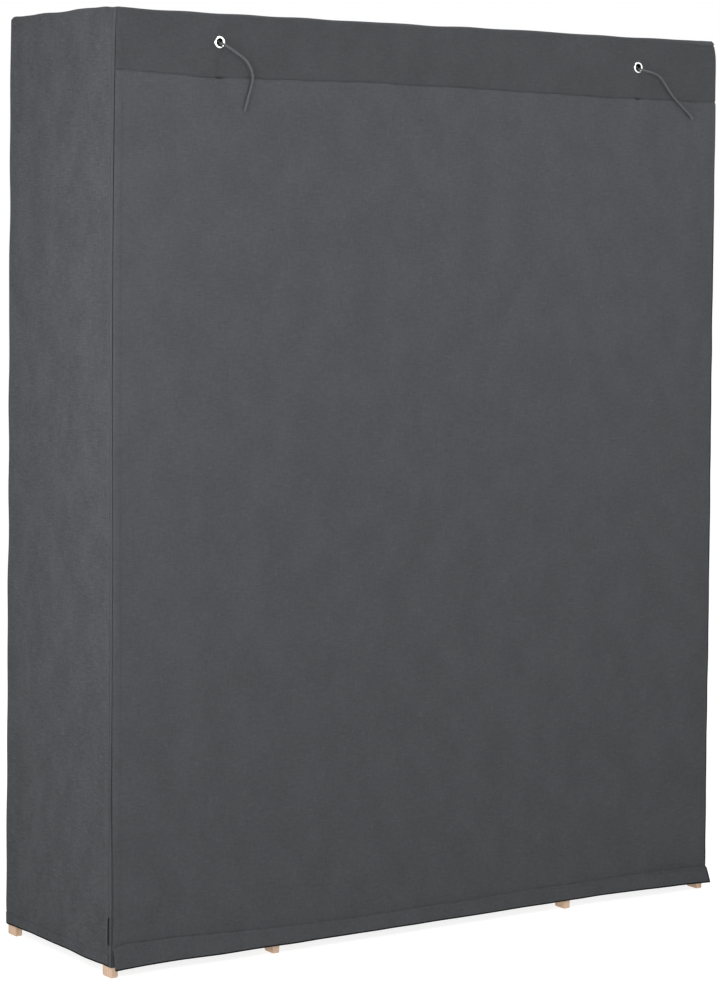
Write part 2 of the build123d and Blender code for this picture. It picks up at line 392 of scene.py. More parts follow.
def cloth_material(name, dark, light, weave=0.00072, rough=0.92, sheen=0.06, slub=1.0, gain=0.29, dye=0.2):
    """Plain weave in the cut's own coordinates: threads, slubs, uneven dye, and the weave's relief."""
    m, nt, bsdf = nodes_of(name)
    uv = add(nt, "ShaderNodeUVMap", uv_map="cut").outputs[0]
    # single threads, as streaks along warp and weft
    warp = noise(nt, scaled(nt, uv, (1500, 45, 1)), 1.0, 2.0, 0.6)
    weft = noise(nt, scaled(nt, uv, (40, 1400, 1)), 1.0, 2.0, 0.6)
    # thicker slubs
    slub_h = noise(nt, scaled(nt, uv, (48, 480, 1), 0.012), 1.0, 1.8, 0.55)
    slub_v = noise(nt, scaled(nt, uv, (430, 42, 1), -0.01), 1.0, 1.8, 0.55)
    # cloudy dye and handling
    cloud = noise(nt, scaled(nt, uv, (16, 11, 1)), 1.0, 4.0, 0.55)
    fine = noise(nt, scaled(nt, uv, (170, 170, 1)), 1.0, 3.0, 0.6)
    total = math_node(nt, "ADD", spread(nt, warp, 0.25, 0.75, -0.5, 0.5), spread(nt, weft, 0.25, 0.75, -0.5, 0.5))
    total = math_node(nt, "MULTIPLY", total, 0.55)
    s1 = spread(nt, slub_h, 0.55, 0.78, 0.0, 0.9 * slub)
    s2 = spread(nt, slub_v, 0.57, 0.80, 0.0, 0.8 * slub)
    s3 = spread(nt, slub_h, 0.42, 0.24, 0.0, -0.6 * slub)
    total = math_node(nt, "ADD", total, s1)
    total = math_node(nt, "ADD", total, s2)
    total = math_node(nt, "ADD", total, s3)
    total = math_node(nt, "ADD", total, spread(nt, cloud, 0.3, 0.7, -dye, dye))
    total = math_node(nt, "ADD", total, spread(nt, fine, 0.3, 0.7, -0.3, 0.3))
    fac = math_node(nt, "MULTIPLY_ADD", total, gain, 0.5, clamp=True)
    mix = add(nt, "ShaderNodeMix", data_type="RGBA")
    mix.inputs["A"].default_value = (*dark, 1)
    mix.inputs["B"].default_value = (*light, 1)
    nt.links.new(fac, mix.inputs["Factor"])
    nt.links.new(mix.outputs["Result"], bsdf.inputs["Base Color"])
    # relief of the weave: over and under
    sep = add(nt, "ShaderNodeSeparateXYZ")
    nt.links.new(uv, sep.inputs[0])
    k = math.pi / weave
    su = math_node(nt, "SINE", math_node(nt, "MULTIPLY", sep.outputs[0], k))
    sv = math_node(nt, "SINE", math_node(nt, "MULTIPLY", sep.outputs[1], k))
    over = math_node(nt, "MULTIPLY", su, sv)
    relief = math_node(nt, "MULTIPLY_ADD", over, 0.5, math_node(nt, "MULTIPLY", total, 0.55))
    bump = add(nt, "ShaderNodeBump")
    bump.inputs["Strength"].default_value = 0.55
    bump.inputs["Distance"].default_value = 0.00016
    nt.links.new(relief, bump.inputs["Height"])
    soft = noise(nt, scaled(nt, uv, (55, 40, 1)), 1.0, 3.0, 0.55)
    bump2 = add(nt, "ShaderNodeBump")
    bump2.inputs["Strength"].default_value = 0.35
    bump2.inputs["Distance"].default_value = 0.0011
    nt.links.new(soft, bump2.inputs["Height"])
    nt.links.new(bump.outputs[0], bump2.inputs["Normal"])
    nt.links.new(bump2.outputs[0], bsdf.inputs["Normal"])
    rough_out = spread(nt, fine, 0.3, 0.7, rough - 0.05, min(1.0, rough + 0.05))
    nt.links.new(rough_out, bsdf.inputs["Roughness"])
    bsdf.inputs["Specular IOR Level"].default_value = 0.1
    bsdf.inputs["Sheen Weight"].default_value = sheen
    bsdf.inputs["Sheen Roughness"].default_value = 0.55
    bsdf.inputs["Sheen Tint"].default_value = (0.75, 0.78, 0.84, 1)
    return m


def wood_material(name, light, dark, seed=0.0, gloss=0.52):
    """Planed pine: rings cut lengthwise, end grain, fine pores and a few darker fibres. Reads the piece's own grain coordinates."""
    m, nt, bsdf = nodes_of(name)
    at = add(nt, "ShaderNodeAttribute", attribute_name="grain").outputs["Vector"]
    long = scaled(nt, at, (5.0, 60.0, 60.0))
    warp = noise(nt, scaled(nt, at, (3.0, 22.0, 22.0)), 1.0, 2.0, 0.5)
    bend = add(nt, "ShaderNodeVectorMath", operation="MULTIPLY_ADD")
    comb = add(nt, "ShaderNodeCombineXYZ")
    nt.links.new(warp, comb.inputs[1])
    nt.links.new(warp, comb.inputs[2])
    nt.links.new(comb.outputs[0], bend.inputs[0])
    bend.inputs[1].default_value = (0.0, 0.02, 0.016)
    nt.links.new(at, bend.inputs[2])
    rings = add(nt, "ShaderNodeTexWave", wave_type="RINGS", rings_direction="X", wave_profile="SAW")
    rings.inputs["Scale"].default_value = 1.0
    rings.inputs["Distortion"].default_value = 0.6
    rings.inputs["Detail"].default_value = 2.0
    rings.inputs["Detail Scale"].default_value = 1.4
    nt.links.new(scaled(nt, bend.outputs[0], (2.0, 62.0, 62.0)), rings.inputs["Vector"])
    fibre = noise(nt, scaled(nt, at, (28.0, 1500.0, 1500.0)), 1.0, 2.0, 0.6)
    patch = noise(nt, long, 0.35, 3.0, 0.5)
    ring = spread(nt, rings.outputs["Fac"], 0.25, 1.0, 0.0, 1.0)
    total = math_node(nt, "MULTIPLY", ring, 0.62)
    total = math_node(nt, "ADD", total, spread(nt, fibre, 0.3, 0.75, -0.18, 0.22))
    total = math_node(nt, "ADD", total, spread(nt, patch, 0.3, 0.7, -0.16, 0.16), clamp=True)
    mix = add(nt, "ShaderNodeMix", data_type="RGBA")
    mix.inputs["A"].default_value = (*light, 1)
    mix.inputs["B"].default_value = (*dark, 1)
    nt.links.new(total, mix.inputs["Factor"])
    nt.links.new(mix.outputs["Result"], bsdf.inputs["Base Color"])
    bump = add(nt, "ShaderNodeBump")
    bump.inputs["Strength"].default_value = 0.4
    bump.inputs["Distance"].default_value = 0.0004
    nt.links.new(math_node(nt, "ADD", fibre, math_node(nt, "MULTIPLY", ring, 0.6)), bump.inputs["Height"])
    nt.links.new(bump.outputs[0], bsdf.inputs["Normal"])
    nt.links.new(spread(nt, fibre, 0.3, 0.7, gloss, gloss + 0.14), bsdf.inputs["Roughness"])
    bsdf.inputs["Specular IOR Level"].default_value = 0.4
    return m


def plain_material(name, dark, light, scale, rough, metallic=0.0, bump_mm=0.05, spec=0.5, stretch=(1, 1, 1)):
    """Object-space speckle between two colours, with uneven gloss and a fine relief."""
    m, nt, bsdf = nodes_of(name)
    at = add(nt, "ShaderNodeTexCoord").outputs["Object"]
    n = noise(nt, scaled(nt, at, tuple(scale * s for s in stretch)), 1.0, 3.0, 0.6)
    mix = add(nt, "ShaderNodeMix", data_type="RGBA")
    mix.inputs["A"].default_value = (*dark, 1)
    mix.inputs["B"].default_value = (*light, 1)
    nt.links.new(spread(nt, n, 0.3, 0.7, 0.0, 1.0), mix.inputs["Factor"])
    nt.links.new(mix.outputs["Result"], bsdf.inputs["Base Color"])
    nt.links.new(spread(nt, n, 0.3, 0.7, rough[0], rough[1]), bsdf.inputs["Roughness"])
    bsdf.inputs["Metallic"].default_value = metallic
    bsdf.inputs["Specular IOR Level"].default_value = spec
    bump = add(nt, "ShaderNodeBump")
    bump.inputs["Strength"].default_value = 0.3
    bump.inputs["Distance"].default_value = bump_mm * MM
    nt.links.new(n, bump.inputs["Height"])
    nt.links.new(bump.outputs[0], bsdf.inputs["Normal"])
    return m


CLOTH_DARK, CLOTH_LIGHT = np.array((0.0250, 0.0263, 0.0284)), np.array((0.0655, 0.0686, 0.0736))
cover_mat = cloth_material("cover_cloth", CLOTH_DARK, CLOTH_LIGHT)
side_mat = cloth_material("side_cloth", CLOTH_DARK, CLOTH_LIGHT, slub=1.35, gain=0.43, dye=0.24)
# partly painted shade: the valance is a darker copy of the cloth for the dimmer light near the top, partly the
# valance's own darker layer
valance_shaded_mat = cloth_material("valance_cloth", CLOTH_DARK * 0.79, CLOTH_LIGHT * 0.79)
curtain_mat = cloth_material("curtain_cloth", CLOTH_DARK * 0.97, CLOTH_LIGHT * 0.97)
# painted light: the hem band is a lighter copy of the curtain cloth, for the light its upturned band catches
hem_lit_mat = cloth_material("curtain_hem_lit", CLOTH_DARK * 0.98, CLOTH_LIGHT * 0.98)
shelf_mat = cloth_material("shelf_cloth", CLOTH_DARK, CLOTH_LIGHT, sheen=0.08)
thread_mat = plain_material("sewing_thread", (0.034, 0.035, 0.0375), (0.054, 0.056, 0.060), 900, (0.6, 0.8), bump_mm=0.05, spec=0.3)
# painted shade: a near-black and a dark grey cloth for edges, standing in for the shadowed underside of the hem and the
# dark line along the front's right edge
black_edge_shade_mat = plain_material("painted_black_edge_shade", (0.0050, 0.0052, 0.0056), (0.0120, 0.0124, 0.0132), 1300, (0.85, 0.98), bump_mm=0.08, spec=0.0)
edge_shade_mat = plain_material("painted_edge_shade", (0.0170, 0.0177, 0.0190), (0.0290, 0.0301, 0.0323), 1300, (0.85, 0.98), bump_mm=0.08, spec=0.05)
tack_mat = plain_material("bar_tack_thread", (0.0250, 0.0260, 0.0278), (0.0400, 0.0415, 0.0445), 1300, (0.8, 0.95), bump_mm=0.08, spec=0.05)
cord_mat = plain_material("cord_cotton", (0.044, 0.0455, 0.049), (0.092, 0.095, 0.101), 1400, (0.8, 0.95), bump_mm=0.12, spec=0.25, stretch=(1, 1, 1))
fray_mat = plain_material("cord_fibre", (0.080, 0.082, 0.087), (0.150, 0.153, 0.162), 700, (0.75, 0.9), bump_mm=0.05, spec=0.3)
pine_mat = wood_material("pine", (0.600, 0.425, 0.300), (0.460, 0.300, 0.190))
rod_mat = wood_material("rod_pine", (0.650, 0.445, 0.295), (0.500, 0.310, 0.185), gloss=0.42)
nickel_mat = plain_material("bright_nickel", (0.74, 0.735, 0.72), (0.90, 0.895, 0.88), 260, (0.14, 0.26), metallic=1.0, bump_mm=0.02)
zinc_mat = plain_material("zinc_steel", (0.52, 0.53, 0.54), (0.74, 0.74, 0.73), 420, (0.28, 0.46), metallic=1.0, bump_mm=0.03)
socket_mat = plain_material("socket_plastic", (0.79, 0.77, 0.72), (0.84, 0.825, 0.78), 300, (0.38, 0.50), bump_mm=0.03, spec=0.45)
dowel_mat = plain_material("beech_dowel", (0.62, 0.42, 0.26), (0.72, 0.52, 0.34), 300, (0.5, 0.65), bump_mm=0.06, spec=0.35, stretch=(0.1, 1, 1))

# ------------------------------------------------------- the cover's shape
D3 = waves(11, 30, (110, 420), (110, 420), (140, 600))
FRONT_DRAPE = waves(21, 26, (95, 330), (700, 3200))
FRONT_SOFT = waves(22, 30, (60, 190), (90, 420))
BACK_DRAPE = waves(31, 24, (110, 360), (600, 2600))
BACK_SOFT = waves(32, 26, (55, 190), (90, 420))
SIDE_DRAPE = {-1: waves(41, 22, (80, 260), (380, 1700)), 1: waves(42, 22, (80, 260), (380, 1700))}
SIDE_SOFT = {-1: waves(43, 28, (32, 110), (60, 260)), 1: waves(44, 28, (32, 110), (60, 260))}
ROOF_SOFT = waves(51, 28, (60, 240), (50, 190))


def wrap(x, y, z):
    """Rounds the sharp box: a point on it goes to the rounded one, with its outward direction."""
    r = R + (RT - R) * smooth(ZT - 45, ZT - RT, z)
    q = np.stack([np.clip(x, -W + r, W - r), np.clip(y, YF + r, YB - r), np.minimum(z, ZT - RT)], axis=-1)
    p = np.stack([x, y, z], axis=-1)
    d = p - q
    n = np.linalg.norm(d, axis=-1, keepdims=True)
    n = np.where(n < 1e-9, 1.0, n)
    return q + d / n * r[..., None], d / n


def general(p):
    return 0.55 * D3(p[..., 0], p[..., 1], p[..., 2])


# ------------------------------------------------------------- the front
def seam_z(x):
    z = np.interp(x, SEAM_X, SEAM_Z)
    return z + 0.5 * np.sin(x / 37.0) + 0.35 * np.sin(x / 17.3 + 1.0)


HEM_X = np.array([-684, -679, -673, -665, -655, -640, -560, -461, -330, -198, 21, 251, 431, 560, 684.0])
HEM_Z = np.array([51.5, 54.0, 56.6, 58.3, 58.8, 58.0, 55.2, 52.3, 46.2, 43.6, 44.2, 47.0, 47.4, 46.4, 44.6])
BOTTOM_X = np.array([-684, -500, -200, 200, 420, 520, 600, 650, 684.0])
BOTTOM_Z = np.array([16.2, 16.1, 16.5, 17.2, 17.5, 16.9, 15.7, 14.7, 13.8])
KICK_X = np.array([-684, -674, -661, -648, -632, -610, -577, -547, -507, -467, -426, -378, -319, -253, -187, -74,
                   42, 160, 258, 358, 408, 455, 505, 527, 550, 573, 596, 653, 684.0])
KICK = np.array([12.0, 10.4, 8.6, 7.0, 5.4, 3.6, 1.7, 1.2, 2.6, 4.4, 5.2, 5.1, 5.4, 5.3, 5.2, 4.5,
                 4.0, 3.3, 1.9, 1.1, 1.3, 2.9, 4.0, 5.4, 6.8, 7.8, 9.2, 11.6, 12.6])
LEFT_Z = np.array([15, 60, 140, 318, 494, 620, 755, 1017, 1277, 1450, 1555, 1641, 1665, 1700.0])
LEFT_X = np.array([677.4, 678.2, 678.9, 679.2, 678.9, 679.2, 679.7, 681.8, 682.5, 681.8, 681.2, 680.3, 680.2, 680.4])
RIGHT_Z = np.array([15, 30, 45, 60, 90, 130, 300, 500, 1000, 1300, 1500, 1600, 1640, 1665, 1685, 1700.0])
RIGHT_X = np.array([687.6, 686.8, 685.6, 684.3, 683.9, 684.0, 684.2, 684.8, 685.1, 685.8, 686.2, 685.8, 685.2, 684.6, 684.0, 682.8])
FLARE_Z = np.array([20, 60, 140, 220, 315, 490, 620, 800, 1000.0])
FLARE_L = np.array([3.4, 4.6, 6.6, 4.4, 1.8, 2.3, 1.6, 0.6, 0.0])
FLARE_R = np.array([2.0, 2.4, 2.4, 1.8, 1.2, 0.8, 0.5, 0.2, 0.0])


def hem_line(x):
    """Height of the hem's crease."""
    return np.interp(x, HEM_X, HEM_Z) + 0.5 * np.sin(x / 43.0 + 2.0) + 0.3 * np.sin(x / 19.0)


def bottom_z(x):
    return np.interp(x, BOTTOM_X, BOTTOM_Z)


def flare(x, z):
    """The front's side edges hang free of the frame towards the floor."""
    return (np.interp(z, FLARE_Z, FLARE_L) * smooth(150, 4, x + EDGE) + np.interp(z, FLARE_Z, FLARE_R) * smooth(130, 4, EDGE - x))


def edge_x(x, z):
    """Where the cut's place x lies: the front overhangs the sides a little, more or less with the height."""
    left = EDGE - np.interp(z, LEFT_Z, LEFT_X)
    right = np.interp(z, RIGHT_Z, RIGHT_X) - EDGE
    return x + left * smooth(330, 0, x + EDGE) + right * smooth(330, 0, EDGE - x)


def front_out(x, z):
    """How far the front cloth stands out from its plane, in mm, without its edges' roll."""
    fade_top = smooth(0, 45, np.abs(z - seam_z(x)))
    d = 0.55 * FRONT_DRAPE(x, z) * (0.35 + 0.65 * smooth(1560, 1380, z)) + 0.26 * FRONT_SOFT(x, z)
    d = d * (0.35 + 0.65 * fade_top)
    # cloth lies against the inner posts
    d = d - 0.5 * gauss(x + 327, 13) * smooth(1600, 1450, z) - 0.4 * gauss(x - 341, 13) * smooth(1600, 1450, z)
    d = d + 0.4 * gauss(x + 303, 16) + 0.35 * gauss(x - 318, 16)
    # drag lines from the upper corners, and from the seam where the tacks hold it
    d = d + 0.8 * ridge(x, z, -668, 1560, -560, 1330, 19) - 0.7 * ridge(x, z, -640, 1565, -520, 1360, 22)
    d = d + 0.7 * ridge(x, z, 668, 1550, 575, 1290, 20) - 0.7 * ridge(x, z, 645, 1560, 548, 1330, 20)
    d = d + 0.6 * ridge(x, z, -470, 1578, -486, 1440, 11) + 0.5 * ridge(x, z, -452, 1578, -405, 1430, 12)
    d = d + 0.6 * ridge(x, z, 476, 1572, 462, 1430, 11) + 0.5 * ridge(x, z, 492, 1572, 540, 1440, 12)
    # slack over the hem
    d = d + 3.0 * bell(x, z, -612, 127, 26, 12, 6) - 2.4 * bell(x, z, -548, 103, 34, 11, 6) + 1.5 * bell(x, z, -470, 90, 40, 14, 4)
    d = d + 1.3 * ridge(x, z, -655, 92, -570, 128, 8) - 1.2 * ridge(x, z, -640, 82, -520, 108, 9)
    d = d - 1.3 * bell(x, z, 389, 56, 42, 6, -2) - 1.2 * bell(x, z, 566, 52, 46, 6, -2)
    d = d + 1.6 * bell(x, z, 500, 92, 70, 16, -5) - 1.3 * bell(x, z, 612, 96, 26, 26, 0)
    d = d + 1.2 * ridge(x, z, 655, 80, 604, 190, 13) - 0.8 * bell(x, z, 640, 118, 12, 40, 0)
    d = d + 0.8 * bell(x, z, -120, 82, 90, 12, 2) - 0.6 * bell(x, z, 130, 74, 80, 9, -2) + 0.8 * bell(x, z, 250, 84, 60, 13, -2)
    # keep it clear of what is behind, and of the next fold
    d = 1.6 * np.tanh(d / 1.6) + np.maximum(d - 1.6, 0) * 0.35
    d = d + 0.35
    # side hems: a turned edge, sewn down
    e = EDGE - np.abs(x)
    d = d + 0.7 * smooth(17.0, 11.0, e) * smooth(0.0, 5.0, e) - 0.14 * gauss(e - 13.4, 1.8)
    return d


def hem_out(x, z):
    """The bottom hem: its thickness, the crease over it, and how it stands out at the corners."""
    line = hem_line(x)
    low = bottom_z(x)
    kick = np.interp(x, KICK_X, KICK) + 2.0 - flare(x, np.full(np.shape(x), 60.0))
    t = np.clip((line + 5 - z) / (line + 5 - low), 0, 1)
    d = kick * (0.72 * t + 0.28 * t * t)
    d = d + 1.0 * smooth(line + 1.0, line - 2.2, z)
    wide = smooth(-400, -600, x) + smooth(430, 600, x)
    d = d - (1.5 + 0.5 * wide) * gauss(z - line - 1.5, 2.3) - (0.8 + 0.5 * wide) * gauss(z - line - 6, 8.5)
    # the fold at the very bottom turns under
    under = np.clip(3.0 - (z - low), 0, 3.0)
    d = d - (1.7 - np.sqrt(np.maximum(1.7 ** 2 - (under / 3.0 * 1.7) ** 2, 0)))
    return d


def front_point(x, z, extra=0.0):
    """Outer side of the front cloth. x is the cut's place, to EDGE."""
    e = EDGE - np.abs(x)
    roll = 2.4
    inside = np.clip(roll - e, 0, roll)
    back = roll - np.sqrt(np.maximum(roll * roll - inside * inside, 0.0))
    Y = YF - front_out(x, z) - flare(x, z) - hem_out(x, z) - extra + back
    return np.stack([edge_x(x, z), Y, z + 0 * x], axis=-1)


def edge_columns():
    left = [0.0, 0.3, 0.8, 1.4, 2.0, 3.0, 5.0, 8.0, 11.0, 12.4, 13.2, 14.0, 15.6, 19.0, 26.0]
    xs = [-EDGE + e for e in left] + [EDGE - e for e in left]
    xs += list(np.linspace(-EDGE + 26, EDGE - 26, 123))
    xs += [-EDGE + 31, EDGE - 31]
    return xs


COLUMNS = joined(edge_columns())


def seam_dip(s):
    """Both cloths turn in where they are sewn together. s is the distance to the seam."""
    return 1.9 * gauss(s, 1.9) + 0.35 * gauss(s, 6.0)


def tack(x, z, ex):
    """The pinch at the tack under an eyelet."""
    zs = seam_z(np.array(ex))
    return 1.2 * bell(x, z, ex, float(zs) - 0.5, 9.0, 3.2) + 0.5 * bell(x, z, ex - 3, float(zs) + 22, 4.2, 24, -2)


# ----------------------------------------------------------------- the cords
CORDS = {
    "left": [
        (-468.8, -187.8, 1644.2), (-468.8, -196.4, 1644.2), (-463.7, -202.2, 1639.6),
        (-452.0, -202.6, 1633.8), (-437.0, -201.6, 1625.2), (-422.0, -199.8, 1617.6),
        (-411.0, -198.0, 1604.4), (-404.4, -196.2, 1589.6), (-405.0, -195.4, 1577.0),
        (-409.2, -195.2, 1563.4), (-413.0, -195.2, 1551.6), (-415.6, -195.2, 1543.0),
        (-417.6, -195.2, 1536.0),
    ],
    "right": [
        (487.3, -187.8, 1635.9), (487.3, -196.4, 1635.9), (493.5, -202.2, 1632.6),
        (508.0, -202.6, 1630.2), (524.0, -201.6, 1626.2), (537.0, -200.4, 1618.8),
        (548.0, -199.2, 1606.4), (562.0, -197.8, 1591.4), (576.0, -196.4, 1579.4),
        (592.0, -195.3, 1567.8), (606.0, -195.2, 1556.8), (617.0, -195.2, 1547.6),
    ],
}


def spline_line(points):
    """The line of a NURBS curve with these control points, in mm."""
    data = bpy.data.curves.new("route", "CURVE")
    data.dimensions = "3D"
    data.resolution_u = 24
    s = data.splines.new("NURBS")
    s.points.add(len(points) - 1)
    for p, q in zip(s.points, points):
        p.co = (*[v * MM for v in q], 1.0)
    s.order_u = 3
    s.use_endpoint_u = True
    obj = bpy.data.objects.new("route", data)
    mesh = bpy.data.meshes.new_from_object(obj)
    line = np.array([v.co for v in mesh.vertices], float) / MM
    bpy.data.meshes.remove(mesh)
    bpy.data.objects.remove(obj)
    bpy.data.curves.remove(data)
    return line


def even(line, step):
    along = np.concatenate([[0], np.cumsum(np.linalg.norm(np.diff(line, axis=0), axis=1))])
    at = np.linspace(0, along[-1], int(along[-1] / step) + 2)
    return np.stack([np.interp(at, along, line[:, k]) for k in range(3)], axis=1)


def frames_along(line):
    tang = np.gradient(line, axis=0)
    tang /= np.linalg.norm(tang, axis=1, keepdims=True)
    u = np.cross(tang[0], [0, 0, 1.0] if abs(tang[0][2]) < 0.9 else [1.0, 0, 0])
    u /= np.linalg.norm(u)
    us, vs = [], []
    for t in tang:
        u = u - t * np.dot(u, t)
        u /= np.linalg.norm(u)
        us.append(u)
        vs.append(np.cross(t, u))
    return tang, np.array(us), np.array(vs)


def strand(line, us, vs, r, pitch, phase, step):
    """A helix of radius r(i) about the line."""
    out = []
    for i in range(len(line)):
        a = phase + 2 * math.pi * i * step / pitch
        rr = r(i / (len(line) - 1)) if callable(r) else r
        out.append(line[i] + rr * (math.cos(a) * us[i] + math.sin(a) * vs[i]))
    return np.array(out)


cord_lines = {}
for side, route in CORDS.items():
    line = even(spline_line(route), 0.55)
    cord_lines[side] = line
    tang, us, vs = frames_along(line)
    rope = Parts()
    open_end = 0.86 if side == "left" else 0.92

    def spread_r(t, k=open_end):
        return 1.12 + 0.75 * float(smooth(k, 1.0, t))

    for k in range(3):
        path = strand(line, us, vs, spread_r, 10.5, 2 * math.pi * k / 3, 0.55)
        path[:, 1] = np.minimum(path[:, 1], np.where(np.arange(len(path)) > 60, -194.0, 0.0))
        v, f = tube_mesh(path, 1.2, 9)
        rope.add(v, f)
    cord = rope.make(f"{side}_pull_cord_rope", cord_mat)
    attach(cord, "wardrobe")
    # loose fibres at the bare end
    rng = np.random.default_rng(5 if side == "left" else 6)
    tuft = Parts()
    end, dirn = line[-1], tang[-1]
    for i in range(44 if side == "left" else 26):
        a = rng.random() * 2 * math.pi
        r0 = 1.9 * math.sqrt(rng.random())
        start = line[-6] + r0 * (math.cos(a) * us[-6] + math.sin(a) * vs[-6])
        away = us[-1] * math.cos(a) + vs[-1] * math.sin(a)
        long = 4.5 + 5.5 * rng.random() if side == "left" else 3.0 + 3.5 * rng.random()
        pts = []
        for t in np.linspace(0, 1, 6):
            p = start + dirn * (3.0 + long * t) * (0.2 + 0.8 * t) + away * (0.9 * t ** 1.6) * (0.6 + 1.2 * rng.random())
            p = p + np.array([0, 0, -0.8 * t * t])
            p[1] = min(p[1], -193.2)
            pts.append(p)
        v, f = tube_mesh(np.array(pts), 0.2, 5, lambda t: 1.0 - 0.55 * t)
        tuft.add(v, f)
    fray = tuft.make(f"{side}_cord_frayed_end", fray_mat)
    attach(fray, "wardrobe")
    # the stopper knot behind the eyelet
    knot = Parts()
    cx, cz = route[0][0], route[0][2]
    ts = np.linspace(0, 2 * math.pi, 120, endpoint=False)
    kn = np.stack([
        (np.sin(ts) + 2 * np.sin(2 * ts)) * 2.05,
        -np.sin(3 * ts) * 1.9,
        (np.cos(ts) - 2 * np.cos(2 * ts)) * 2.05,
    ], axis=1) + np.array([cx, -183.6, cz])
    closed = np.concatenate([kn, kn[:3]])
    for k in range(3):
        tg, u2, v2 = frames_along(closed)
        p = strand(closed, u2, v2, 1.0, 9.5, 2 * math.pi * k / 3, float(np.linalg.norm(closed[1] - closed[0])))
        p[:, 1] = np.clip(p[:, 1], -186.7, -176.0)
        v, f = tube_mesh(p, 1.15, 7)
        knot.add(v, f)
    # the short tail on its far side
    tail = np.array([[cx + 1, -183, cz], [cx + 3.4, -180, cz - 2], [cx + 4.6, -177.6, cz - 5], [cx + 5.0, -176.6, cz - 8.5]])
    v, f = tube_mesh(even(tail, 0.8), 2.0, 10)
    knot.add(v, f)
    kobj = knot.make(f"{side}_stopper_knot", cord_mat)
    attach(kobj, "wardrobe")
    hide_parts(f"{side}_pull_cord")
    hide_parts(f"{side}_cord_knot")

# ----------------------------------------------------------------- eyelets
def lathe(profile, centre, y0, sides=64):
    """A turned shape about the Y axis: profile is (radius, y) pairs, closed."""
    verts, faces = [], []
    n = len(profile)
    for k in range(sides):
        a = 2 * math.pi * k / sides
        for r, y in profile:
            verts.append((centre[0] + r * math.cos(a), y0 + y, centre[1] + r * math.sin(a)))
    for k in range(sides):
        k2 = (k + 1) % sides
        for i in range(n):
            j = (i + 1) % n
            faces.append((k * n + i, k * n + j, k2 * n + j, k2 * n + i))
    return verts, faces


rings, washers = Parts(), Parts()
for ex, ez in EYELETS.values():
    prof = []
    for a in np.linspace(math.pi, 0, 15):      # domed front, from the hole to the outer edge
        prof.append((8.8 + 2.05 * math.copysign(abs(math.cos(a)) ** 0.85, math.cos(a)), -0.15 - 1.35 * math.sin(a) ** 0.8))
    prof = [(6.75, 2.3), (6.75, 0.4)] + prof + [(10.75, 0.1), (10.2, 0.2), (7.5, 0.2), (7.25, 0.5), (7.25, 2.1), (7.9, 2.25), (7.8, 2.45), (6.9, 2.5)]
    v, f = lathe(prof, (ex, ez), YF)
    rings.add(v, f)
    wp = [(7.3, 1.22), (10.5, 1.22), (10.65, 1.45), (10.5, 1.8), (9.4, 2.02), (7.6, 2.0), (7.3, 1.8)]
    v, f = lathe(wp, (ex, ez), YF)
    washers.add(v, f)
ring_obj = rings.make("eyelet_rings", nickel_mat)
bpy.context.view_layer.update()
wash_obj = washers.make("eyelet_back_washers", nickel_mat)
for o, n in ((ring_obj, "eyelets"), (wash_obj, "eyelet_washers")):
    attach(o, "wardrobe")
    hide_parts(n)

# ------------------------------------------------------------- the valance
def roof_dip(x):
    """How far below the top edge the roof's seam runs down the front."""
    return 1.4 + 6.6 * smooth(540, 660, x) + 0.5 * np.sin(x / 31.0) ** 2


def top_front(x, z, out):
    """The front's topmost part, rounded towards the roof and the sides. x is the cut's place, to EDGE."""
    flat = x * W / EDGE
    base, nrm = wrap(flat, np.full(np.shape(x), YF), z)
    p = base + nrm * out[..., None]
    p[..., 0] += edge_x(x, z) - flat
    return p


TOP_X = np.array([-684, -664, -632, -572, -511, -405, -293, -178, -58, 66, 192, 322, 455, 590, 668, 684.0])
TOP_SAG = np.array([0.2, 0.7, 1.2, 2.6, 2.0, 1.9, 2.2, 1.2, 2.8, 0.4, 0.9, 1.3, 1.8, 1.4, 2.7, 2.8])


def top_sag(x):
    """The front's top edge lies a little lower between the posts."""
    out = 0.0
    for k in (-24, 0, 24):
        out = out + np.interp(x + k, TOP_X, TOP_SAG) / 3
    return out


def eave(y):
    """The side edges of the top stand a little above the rails, and waver as fitted to the left one in the picture."""
    d = smooth(-172, -140, y) * (2.9 + 1.3 * smooth(120, 158, y)) * smooth(209, 186, y)
    return d + 0.7 * gauss(y + 31, 26) - 0.65 * gauss(y - 46, 26) - 0.4 * gauss(y + 108, 22) + 0.6 * gauss(y - 118, 26)


def seam_depth(x):
    """How deep the roof's seam lies in the front."""
    return 0.3 + 1.3 * smooth(520, 640, x)


def valance_out(x, z):
    d = 0.55 * FRONT_DRAPE(x, z) * 0.35 + 0.30 * FRONT_SOFT(x + 40, z)
    e = EDGE - np.abs(x)
    d = d + 0.7 * smooth(17.0, 11.0, e) * smooth(0.0, 5.0, e) * smooth(1690, 1660, z) - 0.14 * gauss(e - 13.4, 1.8) * smooth(1690, 1660, z)
    for ex, ez in EYELETS.values():
        r = np.hypot(x - ex, z - ez)
        ang = np.arctan2(z - ez, x - ex)
        d = d * smooth(11, 28, r) - 0.5 * gauss(r - 14, 3.6) * (1 + 0.5 * np.sin(5 * ang + ex)) + 0.5 * gauss(r - 25, 8) * (0.5 + 0.5 * np.sin(4 * ang + 2))
        d = d - tack(x, z, ex)
        d = d + 0.55 * bell(x, z, ex + 7, ez - 34, 4.0, 17, -3)
        d = d + 1.0 * bell(x, z, ex - 18, ez - 40, 15, 24, -2) - 0.9 * bell(x, z, ex + 2, ez - 40, 10, 24, -2)
    # drag lines up to the corners of the frame
    d = d + 0.7 * ridge(x, z, -672, 1688, -600, 1612, 12) + 0.7 * ridge(x, z, 672, 1680, 590, 1606, 13)
    d = d + 0.5 * ridge(x, z, -335, 1694, -345, 1606, 16) + 0.5 * ridge(x, z, 335, 1692, 350, 1602, 16)
    d = 1.5 * np.tanh(d / 1.5)
    return d + 0.3 - seam_dip(z - seam_z(x))


